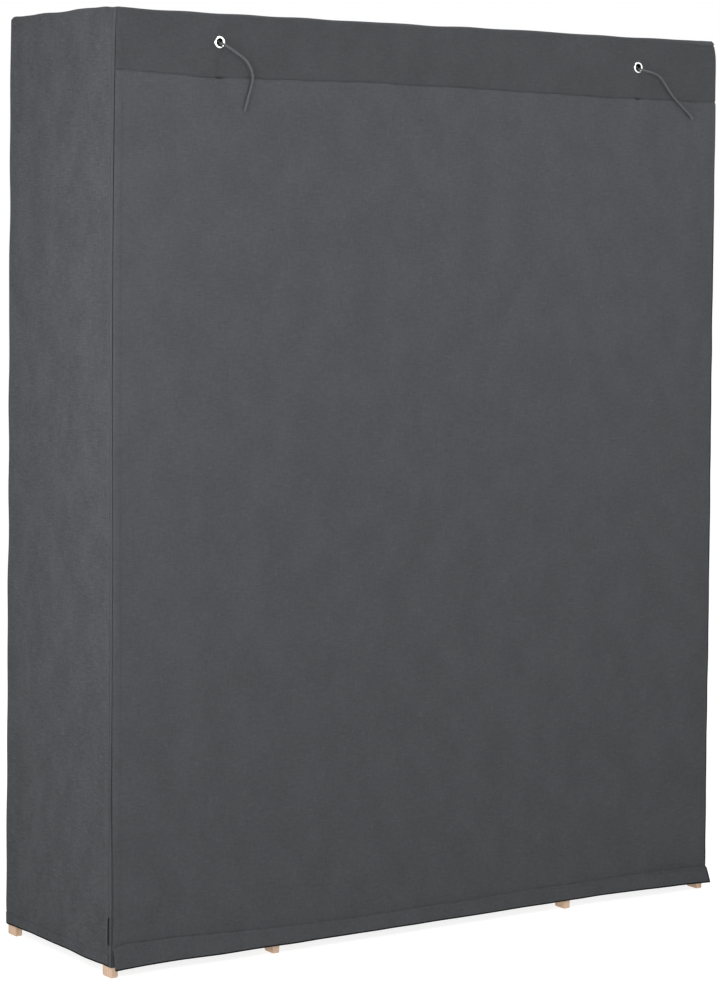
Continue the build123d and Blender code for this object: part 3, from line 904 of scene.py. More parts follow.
cols = list(COLUMNS)
for ex, ez in EYELETS.values():
    cols += list(ex + np.arange(-14, 14.1, 1.75))
cols = joined(cols, 0.28)
eye_rows = []
fractions = []
for ex, ez in EYELETS.values():
    eye_rows += [(ez + k) for k in np.arange(-14, 14.1, 1.75)]
eye_rows = joined(eye_rows, 0.5)
low_rows = [0, 0.6, 1.2, 1.9, 2.8, 4.0, 5.6]
# rows run from the seam up to the roof's seam; those near an eyelet keep their height
top_z = ZT
rows_abs = joined(list(np.linspace(1612, 1686, 9)) + list(eye_rows) + [1690, 1693, 1695, 1696.5, 1697.6], 0.6)
X = np.tile(cols, (len(low_rows) + 3 + len(rows_abs) + 3, 1))
zs = seam_z(cols)
Z = []
for v in low_rows:
    Z.append(zs + v)
for v in (0.16, 0.4, 0.7):
    Z.append(zs + 5.6 + (1612 - zs - 5.6) * v)
dip = roof_dip(cols)
limit = ZT - dip
for z in rows_abs:
    zz = np.full(len(cols), z)
    squeeze = 1680.0
    over = zz > squeeze
    zz = np.where(over, squeeze + (zz - squeeze) * (limit - squeeze - 1.2) / (1697.6 - squeeze), zz)
    Z.append(zz)
Z.append(limit - 0.8)
Z.append(limit - 0.35)
Z.append(limit)
Z = np.array(Z)
P0 = np.stack([X, np.full_like(X, YF), np.clip(Z, 0, ZT)], axis=-1)
# rounding towards the roof
base, nrm = wrap(np.clip(X, -W + R, W - R), P0[..., 1], Z)
fade = smooth(ZT - 5, ZT - 30, Z)
out = valance_out(X, Z) * fade + (general(P0) + 0.3) * (1 - fade)
groove = seam_depth(X) * gauss((limit[None, :] - Z) / 1.0, 2.0)
e = EDGE - np.abs(X)
roll = 2.4
inside = np.clip(roll - e, 0, roll)
back = roll - np.sqrt(np.maximum(roll * roll - inside ** 2, 0))
P = base + nrm * (out - groove)[..., None]
P[..., 0] = edge_x(X, Z)
P[..., 1] += back
rim = smooth(1655, 1688, Z)[..., None]
P = P * (1 - rim) + top_front(X, Z, out - groove) * rim
P[..., 2] -= top_sag(X) * smooth(ZT - 40, ZT, Z)
hide = np.zeros((P.shape[0] - 1, P.shape[1] - 1), bool)
for ex, ez in EYELETS.values():
    r = np.hypot(P[..., 0] - ex, P[..., 2] - ez)
    corner = np.stack([r[:-1, :-1], r[1:, :-1], r[:-1, 1:], r[1:, 1:]])
    gone = corner.min(0) < 7.0
    hide |= gone
    # the hole's edge becomes round
    touched = np.zeros(r.shape, bool)
    for a, b in ((0, 0), (1, 0), (0, 1), (1, 1)):
        touched[a:a + gone.shape[0], b:b + gone.shape[1]] |= gone
    ring = touched & (r >= 7.0)
    scale = np.where(ring, 7.9 / np.maximum(r, 1e-6), 1.0)
    P[..., 0] = ex + (P[..., 0] - ex) * scale
    P[..., 2] = ez + (P[..., 2] - ez) * scale
    P[..., 1] = np.where(r < 11.6, YF, P[..., 1])
uv = np.stack([X, Z], axis=-1)
cell = EDGE - np.abs(cols[:-1] + cols[1:]) / 2
# painted shade: the cells within 1.4 mm of the right edge take the dark grey edge shade
valance = shell("valance_cloth", P, uv, (0, -1, 0), mat=valance_shaded_mat, hide=hide, painted_light_marks=np.tile(cell < np.where(cols[:-1] < 0, 0.0, 1.4), (P.shape[0] - 1, 1)))
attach(valance, "wardrobe")
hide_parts("cover_valance")

# bar tacks: a few close dark stitches on the seam below each eyelet
tacks = Parts()
for ex, ez in EYELETS.values():
    for k in np.linspace(-6.0, 6.0, 13):
        x = ex - 0.5 + k
        z = float(seam_z(np.array(x))) - 0.6
        at = np.array([x, YF + 0.35 - 0.3 * math.cos(k), z])
        stitch(tacks, at, np.array([0.15, 0, 1.0]), np.array([0, -1.0, 0]), 3.6 + 0.6 * math.sin(3 * k), 0.6, 0.15)
tack_obj = tacks.make("seam_bar_tacks", tack_mat)
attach(tack_obj, "wardrobe")

# ------------------------------------------------- the curtain, in strips
def head_point(x, z):
    """The curtain just under the seam."""
    s = seam_z(x) - z
    lower = seam_dip(s)
    t = 0.0
    for ex, ez in EYELETS.values():
        t = t + tack(x, z, ex)
    p = front_point(x, z)
    p[..., 1] += lower + t
    return p


STITCH_MAT = thread_mat
strip_stitches = []
strips = []
for j in range(13):
    hinge = FOLD_TOP - j * STEP
    top = None if j == 0 else hinge + STEP / 2
    bottom = hinge - STEP / 2 if j < 12 else ZB
    near = [hinge + k for k in (-14, -10, -8, -6.4, -5, -3.8, -2.7, -1.7, -0.8, 0, 0.8, 1.7, 2.7, 3.8, 5, 6.4, 8, 10, 14)]
    if j == 0:
        fixed = joined(near + [1533, 1543, 1553, 1562] + steps(bottom, hinge - 14, 9.5), 0.7)[::-1]
        zs = seam_z(COLUMNS)
        Z = [zs - v for v in (0, 0.6, 1.2, 1.9, 2.8, 4.0, 5.6)]
        Z += [zs - 5.6 + (1562 - zs + 5.6) * v for v in (0.22, 0.5, 0.76)]
        Z += [np.full(len(COLUMNS), z) for z in fixed]
        Z = np.array(Z)
    else:
        if j == 12:
            h, low = hem_line(COLUMNS), bottom_z(COLUMNS)
            zs = [z for z in joined(near + steps(hinge + 14, top, 8.5), 0.7)[::-1] if z > 73.0]
            Z = [np.full(len(COLUMNS), z) for z in zs]
            Z += [71.4 + (h + 3.2 - 71.4) * v for v in np.linspace(0, 1, 11)[:-1]]
            Z += [h + v for v in (3.2, 2.4, 1.7, 1.0, 0.3, -0.4, -1.1, -1.9, -2.8)]
            Z += [h - 2.8 + (low + 3.4 - h + 2.8) * v for v in np.linspace(0, 1, 12)[1:]]
            Z += [low + v for v in (3.0, 2.0, 1.4, 0.8, 0.3, 0.0)]
            Z = np.array(Z)
        else:
            zs = joined(near + steps(hinge + 14, top, 8.5) + steps(bottom, hinge - 14, 8.5), 0.7)[::-1]
            Z = np.array([np.full(len(COLUMNS), z) for z in zs])
    X = np.tile(COLUMNS, (len(Z), 1))
    P = head_point(X, Z) if j == 0 else front_point(X, Z)
    uv = np.stack([X, Z], axis=-1)
    thick = np.full(X.shape, T)
    e = EDGE - np.abs(X)
    thick = thick + 0.75 * smooth(15, 12, e) * smooth(0.0, 3.0, e)
    if j == 12:
        thick = thick + 0.9 * smooth(hem_line(X) + 1, hem_line(X) - 3, Z)
    # normals over a wider patch, so that they agree across the cuts
    eps = 0.6
    point = head_point if j == 0 else front_point
    zu, zd = Z + eps, Z - eps
    if j == 0:
        zu = np.minimum(zu, seam_z(X))
    if j == 12:
        zd = np.maximum(zd, bottom_z(X))
    xl, xr = np.maximum(X - 0.15, -EDGE), np.minimum(X + 0.15, EDGE)
    N = np.cross(point(xr, Z) - point(xl, Z), point(X, zu) - point(X, zd))
    N /= np.maximum(np.linalg.norm(N, axis=-1, keepdims=True), 1e-9)
    cell = EDGE - np.abs(COLUMNS[:-1] + COLUMNS[1:]) / 2
    # painted shade: cells near the right edge take the dark grey edge shade; under the hem's crease those take the
    # near-black shade and the rest the hem's lighter copy, which paints light; the bottom 3 mm take the near-black
    # shade
    painted_light_marks = np.tile((cell < np.where(COLUMNS[:-1] < 0, 0.0, (1.4, 3.4)[j] if j < 2 else 4.2)).astype(int), (P.shape[0] - 1, 1))
    if j == 12:
        middle = (Z[:-1, :-1] + Z[1:, 1:]) / 2
        below = middle < hem_line(X[:-1, :-1]) - 0.2
        painted_light_marks = np.where(below, np.where(painted_light_marks > 0, 2, 3), painted_light_marks)
        painted_light_marks[middle < bottom_z(X[:-1, :-1]) + 3.0] = 2
    obj = shell(f"curtain_cloth_{j:02d}", P, uv, (0, -1, 0), t=thick, mat=curtain_mat, normals=N, painted_light_marks=painted_light_marks, band=hem_lit_mat)
    strips.append(obj)
    if j == 0:
        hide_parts("curtain_head", "curtain_panel_01")
    elif j < 12:
        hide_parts(f"curtain_panel_{j + 1:02d}")
    else:
        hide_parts("hem_band")
    # stitches of the side hems, and of the bottom hem
    sew = Parts()
    zt = float(seam_z(np.array(0.0))) - 14 if j == 0 else top
    for sx in (-1, 1):
        zz = np.arange(zt, (bottom if j < 12 else 23) - 0.01, -2.0)
        xx = np.full(len(zz), sx * (EDGE - 13.4))
        line = front_point(xx, zz)
        nn = np.tile([0.0, -1.0, 0.0], (len(zz), 1))
        seam_of_stitches(sew, line, nn)
    if j == 12:
        xx = np.arange(-EDGE + 4, EDGE - 4, 2.0)
        zz = hem_line(xx) - 4.2
        line = front_point(xx, zz)
        nrm2 = np.tile([0.0, -1.0, 0.1], (len(xx), 1))
        seam_of_stitches(sew, line, nrm2)
    sewn = sew.make(f"curtain_stitches_{j:02d}", thread_mat)
    strip_stitches.append(sewn)
    a = "wardrobe" if j == 0 else f"curtain_section_{j:02d}"
    b = f"curtain_section_{j + 1:02d}" if j < 12 else "hem"
    for o in (obj, sewn):
        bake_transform(o)

# ---------------------------------------------------------------- the sides
def bay_swell(y):
    """0 where the posts hold the side cloth, 1 between them."""
    t = np.clip((y + 170) / (176 + 170), 0, 1)
    return np.sin(math.pi * t ** 0.86) ** 0.9


LEFT_FOLDS = [
    # y0, z0, y1, z1, width, height
    (-53, 1545, 9, 1489, 9, 1.1), (-72, 1548, -20, 1498, 10, -0.9), (-136, 1615, -131, 1570, 7, 0.5),
    (-83, 1552, -28, 1458, 15, 1.3), (-36, 1460, -24, 1398, 9, 1.0), (-100, 1440, -60, 1300, 16, 0.9),
    (20, 1420, 40, 1240, 18, 0.8), (-6, 390, -38, 322, 8, 1.5), (-57, 556, -58, 506, 7, 0.9),
    (-84, 424, -16, 390, 8, 1.2), (7, 278, 5, 178, 8, 1.3), (134, 532, 118, 428, 8, -1.6),
    (120, 540, 104, 430, 9, 1.2), (69, 312, 112, 214, 12, -1.6), (48, 300, 90, 196, 10, 1.3),
    (11, 234, 10, 186, 7, 0.9), (-88, 160, -118, 122, 7, 1.1), (-30, 820, -62, 620, 16, 0.9),
    (60, 900, 30, 640, 18, -0.9), (150, 260, 120, 120, 12, -1.0), (-70, 330, -110, 210, 10, 1.0),
]
RIGHT_FOLDS = [
    (-40, 1530, 30, 1450, 12, 1.1), (-90, 1510, -50, 1400, 13, 1.0), (60, 1560, 20, 1440, 14, -1.0),
    (10, 1400, -20, 1230, 18, 0.9), (-60, 560, -20, 430, 10, 1.2), (40, 470, 90, 350, 11, 1.3),
    (110, 300, 60, 180, 12, -1.2), (-30, 330, -80, 200, 10, 1.2), (0, 250, 12, 150, 9, 1.0),
    (80, 880, 60, 640, 18, -0.9), (-90, 900, -50, 700, 16, 0.8), (-120, 200, -90, 110, 9, 0.9),
]


def loose(s, z):
    """How far the rear corner stands off its post."""
    return np.interp(z, [20, 35, 63, 150, 250, 620, 1000, 1300, 1700], [2.2, 2.4, 3.1, 3.4, 3.5, 2.9, 2.7, 2.9, 2.7]) * (1.0 if s < 0 else 0.8)


def side_out(s, y, z):
    amount = 3.1 + 1.3 * smooth(1500, 300, z) + 0.9 * np.sin(z / 260.0 + (0.6 if s < 0 else 2.4))
    amount = amount * (0.55 + 0.45 * smooth(1690, 1560, z)) * (1 - 0.25 * gauss(z - 835, 60)) * (1 - 0.3 * gauss(z - 75, 45))
    swell = bay_swell(y)
    d = amount * swell
    d = d + (0.42 * SIDE_DRAPE[s](y, z) + 0.24 * SIDE_SOFT[s](y, z)) * (0.25 + 0.75 * swell)
    for y0, z0, y1, z1, w, h in (LEFT_FOLDS if s < 0 else RIGHT_FOLDS):
        d = d + 0.85 * h * ridge(y, z, y0, z0, y1, z1, w)
    # the rear corner is loose
    return d + loose(s, z) * smooth(140, 205, y)


def panel_shape(s, y, z):
    """How far the side cloth stands off its plane at the front: it is held flat there, then flares to the corner."""
    own = side_out(s, y, z) * smooth(ZT - 4, ZT - 34, z)
    flat = own * (1 - 0.85 * smooth(-146, -166, y))
    return flat + flare_of(s, z) * smooth(-163, corner_y(s, z), y) - 0.3 * smooth(-157, -162, y)


CREST_Z = np.array([20, 60, 140, 220, 318, 494, 620, 755, 1017, 1277, 1450, 1555, 1641, 1700.0])
CREST_L = np.array([680.6, 680.8, 681.0, 681.2, 681.2, 680.6, 680.8, 681.2, 683.9, 684.7, 683.9, 683.3, 681.9, 680.4])
CREST_R = np.array([681.0, 681.2, 681.6, 682.0, 682.4, 682.8, 683.0, 683.2, 683.6, 684.0, 683.8, 683.2, 682.2, 680.6])


def crest_x(s, z):
    """How far out the corner strip's folded edge stands."""
    return np.interp(z, CREST_Z, CREST_L if s < 0 else CREST_R)


def flare_of(s, z):
    return crest_x(s, z) - (W - 0.7)


def corner_y(s, z):
    """The folded edge's front, which comes forward with the curtain towards the floor."""
    return -188.5 - 0.75 * np.interp(z, FLARE_Z, FLARE_L if s < 0 else FLARE_R) * smooth(320, 250, z)


def lap_y(z):
    """Where the side cloth's lap ends."""
    return -176.5 - 6.0 * smooth(1300, 120, z)


def slit(s, z):
    """1 where the lap's lower end gapes."""
    return smooth(56.5, 60.5, z) * smooth(109, 104.5, z) * (1.0 if s < 0 else 0.55)


def panel_thick(y):
    return 0.8 - 0.45 * smooth(-157, -163, y)


def shell_side(s):
    name = "left" if s < 0 else "right"
    ys = joined([YB - k for k in (0, 0.6, 1.4, 2.2, 3.2, 4.5, 7, 11, 16, 22)] + list(np.linspace(183, -140, 39)))[::-1]
    zs = joined([ZT - k for k in (0, 0.6, 1.4, 2.2, 3.2, 4.5, 7, 11, 17)] + list(np.linspace(1676, 150, 150)) +
                [142, 134, 126, 119, 114, 111, 109, 107.5, 106, 104.5, 102, 98, 92, 86, 80, 74, 68, 64, 62, 60.5, 59, 57.5, 56, 53, 50,
                 47, 45.4, 44.2, 43.2, 42.2, 41, 38, 33, 28, 25, 23, 21.6, 20.6, 20])
    share = np.array([0.12, 0.24, 0.34, 0.43, 0.5, 0.56, 0.62, 0.68, 0.74, 0.8, 0.85, 0.89, 0.925, 0.95, 0.97, 0.985, 1.0])
    Y = np.tile(ys, (len(zs), 1))
    edge = lap_y(zs)
    Y = np.concatenate([Y, -140 + (edge[:, None] + 140) * share[None, :]], axis=1)
    Z = np.tile(zs[:, None], (1, Y.shape[1]))
    X = np.full_like(Y, s * W)
    base, nrm = wrap(X, Y, Z)
    fade = smooth(ZT - 4, ZT - 34, Z) * smooth(YB - 2, YB - 22, Y)
    out = side_out(s, Y, Z) * fade + general(np.stack([X, Y, Z], axis=-1)) * (1 - fade)
    # the loose rear corner reaches the seam
    out = out + loose(s, Z) * (1 - smooth(YB - 2, YB - 22, Y))
    front = smooth(-141, -148, Y)
    out = out * (1 - front) + panel_shape(s, Y, Z) * front
    # the lap's stitches pull it down, its lower end gapes
    d = Y - lap_y(Z)
    out = out - 0.22 * gauss(d - 6.5, 1.2) * (1 - slit(s, Z))
    out = out + 1.9 * slit(s, Z) * smooth(9.0, 0.5, d)
    # bottom hem
    out = out + 0.7 * smooth(43.5, 41.0, Z) - 0.4 * gauss(Z - 44.0, 1.4) - 0.9 * smooth(22.5, 20, Z)
    # seams at the roof and at the back
    out = out - 0.9 * gauss(ZT - Z, 2.2) - 0.8 * gauss(YB - Y, 2.2)
    P = base + nrm * out[..., None]
    P[..., 2] += eave(Y) * smooth(ZT - 14, ZT, Z)
    P[..., 2] += 2.0 * smooth(-110, -50, Y) * smooth(150, 95, Y) * smooth(60, 20, Z)
    thick = panel_thick(Y) + 0.9 * smooth(43, 41, Z) * smooth(-170, -160, Y)
    painted_light_marks = np.zeros((P.shape[0] - 1, P.shape[1] - 1), int)
    # painted shade: the cells of the bottom edge, under 21.8 mm, are near-black
    painted_light_marks[zs[:-1] < 21.8] = 2
    obj = shell(f"{name}_side_cloth", P, np.stack([Y, Z], axis=-1), (s, 0, 0), t=thick, mat=side_mat, painted_light_marks=painted_light_marks)
    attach(obj, "wardrobe")
    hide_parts(f"cover_{name}_side")
    # corner strip: from under the lap round the corner to its inner edge
    r = 5.6
    zs2 = joined([ZT - 1.2 - k for k in (0, 1, 3, 7, 14)] + list(np.linspace(1676, 150, 140)) +
                 [142, 134, 126, 119, 114, 111, 109, 107.5, 106, 104.5, 102, 98, 92, 86, 80, 74, 68, 64, 62, 60.5, 59, 57.5, 56, 53, 49,
                  46, 44.2, 42.6, 41, 36, 30, 24, 21, 20])
    yc, crest = corner_y(s, zs2), crest_x(s, zs2) - 1.0 * smooth(1655, 1693, zs2)
    deep = 0.4 + 0.6 * smooth(190, 270, zs2)
    lead = -188.5 - yc
    points = []
    for f in np.concatenate([np.linspace(0, 0.8, 12), np.linspace(0.8, 1, 9)[1:]]):
        y = -150 + (yc + 0.7 + 150) * f
        x = W + panel_shape(s, y, zs2) - panel_thick(y) - 0.05 - 0.5 * smooth(-160, -152, y)
        x = np.maximum(x - 3.8 * slit(s, zs2) * smooth(-174, -179, y) * smooth(-191, -188.4, y), 679.2) if f < 1 else crest
        points.append((x, y))
    for a in np.radians([35, 70, 110, 145, 180]):          # the folded edge
        points.append((crest - 0.7 + 0.7 * math.cos(a), yc + 0.7 - 0.7 * math.sin(a)))
    wall = np.maximum(crest - 1.9 - 0.85 * smooth(190, 270, zs2), 679.15 - 1.0 * smooth(1655, 1693, zs2))     # the channel behind it
    outer = np.maximum(crest - 1.5, wall + 0.15)
    for x, y in ((outer + 0.05, yc + 1.6 * deep), (outer, yc + 2.6 * deep), (outer, yc + 3.5 * deep), ((outer + wall) / 2, yc + 3.95 * deep),
                 (wall, yc + 3.5 * deep), (wall, yc + 2.5 * deep)):
        points.append((x, y))
    yn = -189.1 - lead
    for a in np.radians([0, 22, 45, 68, 90]):
        points.append((wall - 0.1 - 1.2 + 1.2 * math.cos(a), yn + 1.2 - 1.2 * math.sin(a)))
    for f in np.linspace(0, 1, 12)[1:]:
        x = (wall - 1.3) * (1 - f) + 645.0 * f
        points.append((x, -189.1 - lead * (1 - smooth(0.25, 0.9, f)) + 0.08 * SIDE_SOFT[s](x * 1.5, zs2)))
    px = np.stack([np.broadcast_to(q[0], zs2.shape) for q in points], axis=1)
    py = np.stack([np.broadcast_to(q[1], zs2.shape) for q in points], axis=1)
    Z2 = np.tile(zs2[:, None], (1, px.shape[1]))
    high = np.clip(Z2 - (ZT - RT), 0, RT)
    inset = RT - np.sqrt(RT * RT - high * high)            # the strip leans in with the rounded top
    px, py = px - inset, py + inset * smooth(-172, -184, py)
    P2 = np.stack([s * px, py, Z2], axis=-1)
    P2m = P2[len(zs2) // 2]
    cut = np.concatenate([[0], np.cumsum(np.hypot(*np.diff(P2m[:, :2], axis=0).T))])
    uv = np.stack([np.tile(cut, (len(zs2), 1)) + 300, Z2], axis=-1)
    strip = shell(f"{name}_corner_strip", P2, uv, (s * 0.7, -0.7, 0), t=0.65, mat=cover_mat)
    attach(strip, "wardrobe")
    # stitches: the lap, the bottom hem
    sew = Parts()
    for z0, z1 in ((1688, 112), (54, 25)):
        zz = np.arange(z0, z1, -2.0)
        yy = lap_y(zz) + 6.5
        line = np.stack([s * (W + panel_shape(s, yy, zz) - 0.2), yy, zz], axis=1)
        seam_of_stitches(sew, line, np.tile([s, 0, 0.0], (len(zz), 1)))
    yy = np.arange(-174, 200, 2.0)
    zz = np.full(len(yy), 38.0)
    front = smooth(-141, -148, yy)
    hx = side_out(s, yy, zz) * smooth(YB - 2, YB - 22, yy) + loose(s, zz) * (1 - smooth(YB - 2, YB - 22, yy))
    hx = W + hx * (1 - front) + panel_shape(s, yy, zz) * front + 0.7
    line = np.stack([s * hx, yy, zz], axis=1)
    seam_of_stitches(sew, line, np.tile([s, 0, 0.0], (len(yy), 1)))
    sewn = sew.make(f"{name}_side_stitches", thread_mat)
    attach(sewn, "wardrobe")
    return obj


for s in (-1, 1):
    shell_side(s)

# ---------------------------------------------------------------- the back
xs = [W - k for k in (0, 0.6, 1.4, 2.2, 3.2, 4.5, 7, 11, 16, 22)]
xs = joined([-x for x in xs] + xs + list(np.linspace(-650, 650, 118)))
zs = joined([ZT - k for k in (0, 0.6, 1.4, 2.2, 3.2, 4.5, 7, 11, 17)] + list(np.linspace(1676, 60, 140)) + [52, 46, 44.2, 42.6, 41, 36, 30, 24, 21, 20])
X, Z = np.meshgrid(xs, zs)
Y = np.full_like(X, YB)
base, nrm = wrap(X, Y, Z)
swell = 0.0
for a, b, h in ((-664, -342, 2.6), (-328, 328, 4.2), (342, 664, 2.6)):
    t = np.clip((X - a) / (b - a), 0, 1)
    swell = swell + h * np.sin(math.pi * t)
own = swell * (0.5 + 0.5 * smooth(1690, 1500, Z)) + 0.9 * BACK_DRAPE(X, Z) + 0.4 * BACK_SOFT(X, Z)
own = own + 1.2 * ridge(X, Z, -300, 1640, -120, 1300, 22) + 1.1 * ridge(X, Z, 300, 1640, 150, 1330, 22) - 0.9 * ridge(X, Z, -250, 300, 60, 120, 20)
own = own - 0.5 * (gauss(X + 335, 14) + gauss(X - 335, 14))
fade = smooth(ZT - 4, ZT - 34, Z) * smooth(W - 2, W - 24, np.abs(X))
out = own * fade + general(np.stack([X, Y, Z], axis=-1)) * (1 - fade)
out = np.maximum(out, -0.3)
out = out + np.where(X < 0, loose(-1, Z), loose(1, Z)) * (1 - smooth(W - 2, W - 24, np.abs(X)))
out = out + 0.7 * smooth(43.5, 41.0, Z) - 0.4 * gauss(Z - 44.0, 1.4) - 0.5 * smooth(23, 20, Z)
out = out - 0.9 * gauss(ZT - Z, 2.2) - 0.8 * gauss(W - np.abs(X), 2.2)
P = base + nrm * out[..., None]
back_obj = shell("back_cloth", P, np.stack([X, Z], axis=-1), (0, 1, 0), t=T + 0.9 * smooth(43, 41, Z), mat=cover_mat)
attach(back_obj, "wardrobe")
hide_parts("cover_back")
sew = Parts()
xx = np.arange(-676, 676, 2.0)
iz = 38.0
line = np.stack([xx, np.array([np.interp(x, X[0], P[np.argmin(abs(zs - iz)), :, 1]) for x in xx]), np.full(len(xx), iz)], axis=1)
seam_of_stitches(sew, line, np.tile([0, 1.0, 0], (len(xx), 1)))
sewn = sew.make("back_hem_stitches", thread_mat)
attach(sewn, "wardrobe")

# ---------------------------------------------------------------- the roof
xs = [W - k for k in (0, 0.6, 1.4, 2.2, 3.2, 4.5, 7, 11, 16, 22)]
xs = joined([-x for x in xs] + xs + list(np.linspace(-650, 650, 118)))
ys = joined([YB - k for k in (0, 0.6, 1.4, 2.2, 3.2, 4.5, 7, 11, 16)] + list(np.linspace(182, -168, 36)) + [YF + k for k in (16, 11, 7, 4.5, 3.2, 2.2, 1.4, 0.6, 0)])
ys = ys[::-1]                      # from the back to the front edge
down = np.array([0.12, 0.3, 0.5, 0.72, 0.88, 1.0])
rows_y = np.concatenate([ys, np.full(len(down), YF)])
X = np.tile(xs, (len(rows_y), 1))
Y = np.tile(rows_y[:, None], (1, len(xs)))
Z = np.full_like(X, ZT)
for i, f in enumerate(down):
    Z[len(ys) + i] = ZT - f * roof_dip(xs)
base, nrm = wrap(X, Y, Z)


def bays_of(v, spans):
    out = 0.0
    for a, b, h in spans:
        t = np.clip((v - a) / (b - a), 0, 1)
        out = out + h * np.sin(math.pi * t) ** 0.8
    return out


sx = bays_of(X, ((-664, -342, 5.0), (-328, 328, 8.5), (342, 664, 5.0)))
sy = bays_of(Y, ((-165, 181, 1.0),))
sag = sx * sy
out = -sag + 0.35 * ROOF_SOFT(X, Y) * np.minimum(1, sag / 3.0 + 0.15)
fade = smooth(W - 3, W - 26, np.abs(X)) * smooth(YB - 3, YB - 22, Y) * smooth(YF + 3, YF + 22, Y)
g3 = general(np.stack([X, Y, Z], axis=-1))
front_zone = (Z < ZT - 1e-6) | (Y < YF + 3)
out = out * fade + np.where(front_zone, g3 + 0.3, g3) * (1 - fade)
out = np.maximum(out, -9.5)
onfront = smooth(YF + 6, YF, Y)
out = out - 0.9 * gauss(W - np.abs(X), 2.2) * (1 - onfront) - 0.9 * gauss(YB - Y, 2.2)
seam_s = np.where(Z < ZT - 1e-6, roof_dip(X) - (ZT - Z), roof_dip(X) + (Y - YF))
out = out - seam_depth(X) * gauss(seam_s, 2.0)
cornered = np.where(X < 0, loose(-1, Z), loose(1, Z)) * smooth(W - 24, W - 2, np.abs(X)) * smooth(YB - 22, YB - 2, Y)
out = out + cornered
P = base + nrm * out[..., None]
P[..., 0] += (edge_x(X * EDGE / W, Z) - X) * smooth(YF + 18, YF, Y)
P[..., 2] += eave(Y) * smooth(W - 30, W, np.abs(X))
P[..., 2] -= top_sag(X) * smooth(YF + 66, YF + 18, Y)
roof = shell("roof_cloth", P, np.stack([X, Y - (ZT - Z)], axis=-1), (0, 0, 1), mat=cover_mat)
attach(roof, "wardrobe")
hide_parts("cover_roof")

# -------------------------------------------------------------- the shelves
def shelf_cloth(name, x0, x1, top, bar_h, yf0, yf1, yb0, yb1, replaced, seed, dip=3.0):
    """Cloth deck with a sleeve round the bar at the front and at the back. The bars are yf0..yf1 and yb0..yb1 wide, bar_h tall."""
    c = 1.0
    up = top + c
    low = top - bar_h - c
    path = []

    def arc(cy, cz, r, a0, a1, n=6):
        for a in np.radians(np.linspace(a0, a1, n)):
            path.append((cy + r * math.cos(a), cz + r * math.sin(a)))

    r = 2.4
    # starts under the deck, behind the front bar, and goes round it
    path += [(yf1 + 14, top - 0.9), (yf1 + 7, top - 1.4), (yf1 + c + 1.5, top - 4.0), (yf1 + c + 0.2, top - 9)]
    path += [(yf1 + c, top - bar_h + 8)]
    arc(yf1 + c - r, low + r, r, 0, -90)
    path += [((yf0 + yf1) / 2, low)]
    arc(yf0 - c + r, low + r, r, -90, -180)
    path += [(yf0 - c, top - bar_h / 2)]
    arc(yf0 - c + r, up - r, r, 180, 90)
    for y in np.linspace(yf0 + 6, yb1 - 6, 34):
        path.append((y, up))
    arc(yb1 + c - r, up - r, r, 90, 0)
    path += [(yb1 + c, top - bar_h / 2)]
    arc(yb1 + c - r, low + r, r, 0, -90)
    path += [((yb0 + yb1) / 2, low)]
    arc(yb0 - c + r, low + r, r, -90, -180)
    path += [(yb0 - c, top - bar_h + 8), (yb0 - c - 0.2, top - 9), (yb0 - c - 1.5, top - 4.0), (yb0 - 7, top - 1.4), (yb0 - 14, top - 0.9)]
    path = np.array(path)
    keep = [0]
    for i in range(1, len(path)):
        if np.hypot(*(path[i] - path[keep[-1]])) > 0.25:
            keep.append(i)
    path = path[keep]
    arc_s = np.concatenate([[0], np.cumsum(np.hypot(*np.diff(path, axis=0).T))])
    xs = joined([x0, x0 + 0.8, x0 + 2, x0 + 5, x0 + 8.5, x0 + 9.5, x0 + 10.5, x0 + 14] + list(np.linspace(x0 + 22, x1 - 22, max(20, int((x1 - x0) / 13)))) +
                [x1 - 14, x1 - 10.5, x1 - 9.5, x1 - 8.5, x1 - 5, x1 - 2, x1 - 0.8, x1])
    A, X = np.meshgrid(arc_s, xs, indexing="ij")
    py = np.interp(A, arc_s, path[:, 0])
    pz = np.interp(A, arc_s, path[:, 1])
    deck = (pz > up - 0.05)
    u = (py - yf0) / (yb1 - yf0)
    v = (X - x0) / (x1 - x0)
    shape = np.sin(math.pi * np.clip(u, 0, 1)) ** 0.9 * (0.35 + 0.65 * np.sin(math.pi * v) ** 0.6)
    field = waves(seed, 18, (50, 200), (40, 160))
    soft = np.where(deck, -dip * shape + 0.22 * field(X, py) * np.clip(shape * 3, 0, 1), 0.0)
    sleeve = waves(seed + 1, 18, (22, 90), (12, 60))
    puff = np.where(deck, 0.0, 0.28 * sleeve(X, A))
    P = np.stack([X, py, pz + soft], axis=-1)
    N = normals_of(P, (0, 0, 1))
    # outward is away from the bars, which is up on the deck
    mid = P.shape[0] // 2
    if N[mid, P.shape[1] // 2, 2] < 0:
        N = -N
    P = P + N * np.maximum(puff, -0.25)[..., None]
    e = np.minimum(X - x0, x1 - X)
    P = P + N * (0.35 * smooth(10.5, 8.5, e) - 0.2 * gauss(e - 9.5, 0.8))[..., None]
    obj = shell(name, P, np.stack([X, A], axis=-1), (0, 0, 1), t=0.9, mat=shelf_mat, normals=N)
    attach(obj, "wardrobe")
    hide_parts(replaced)
    sew = Parts()
    for y in (yf1 + 4.5, yb0 - 4.5):
        xx = np.arange(x0 + 3, x1 - 3, 2.0)
        uu = (y - yf0) / (yb1 - yf0)
        vv = (xx - x0) / (x1 - x0)
        shp = math.sin(math.pi * uu) ** 0.9 * (0.35 + 0.65 * np.sin(math.pi * vv) ** 0.6)
        line = np.stack([xx, np.full(len(xx), y), up - dip * shp], axis=1)
        seam_of_stitches(sew, line, np.tile([0, 0, 1.0], (len(xx), 1)))
    sewn = sew.make(name + "_stitches", thread_mat)
    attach(sewn, "wardrobe")


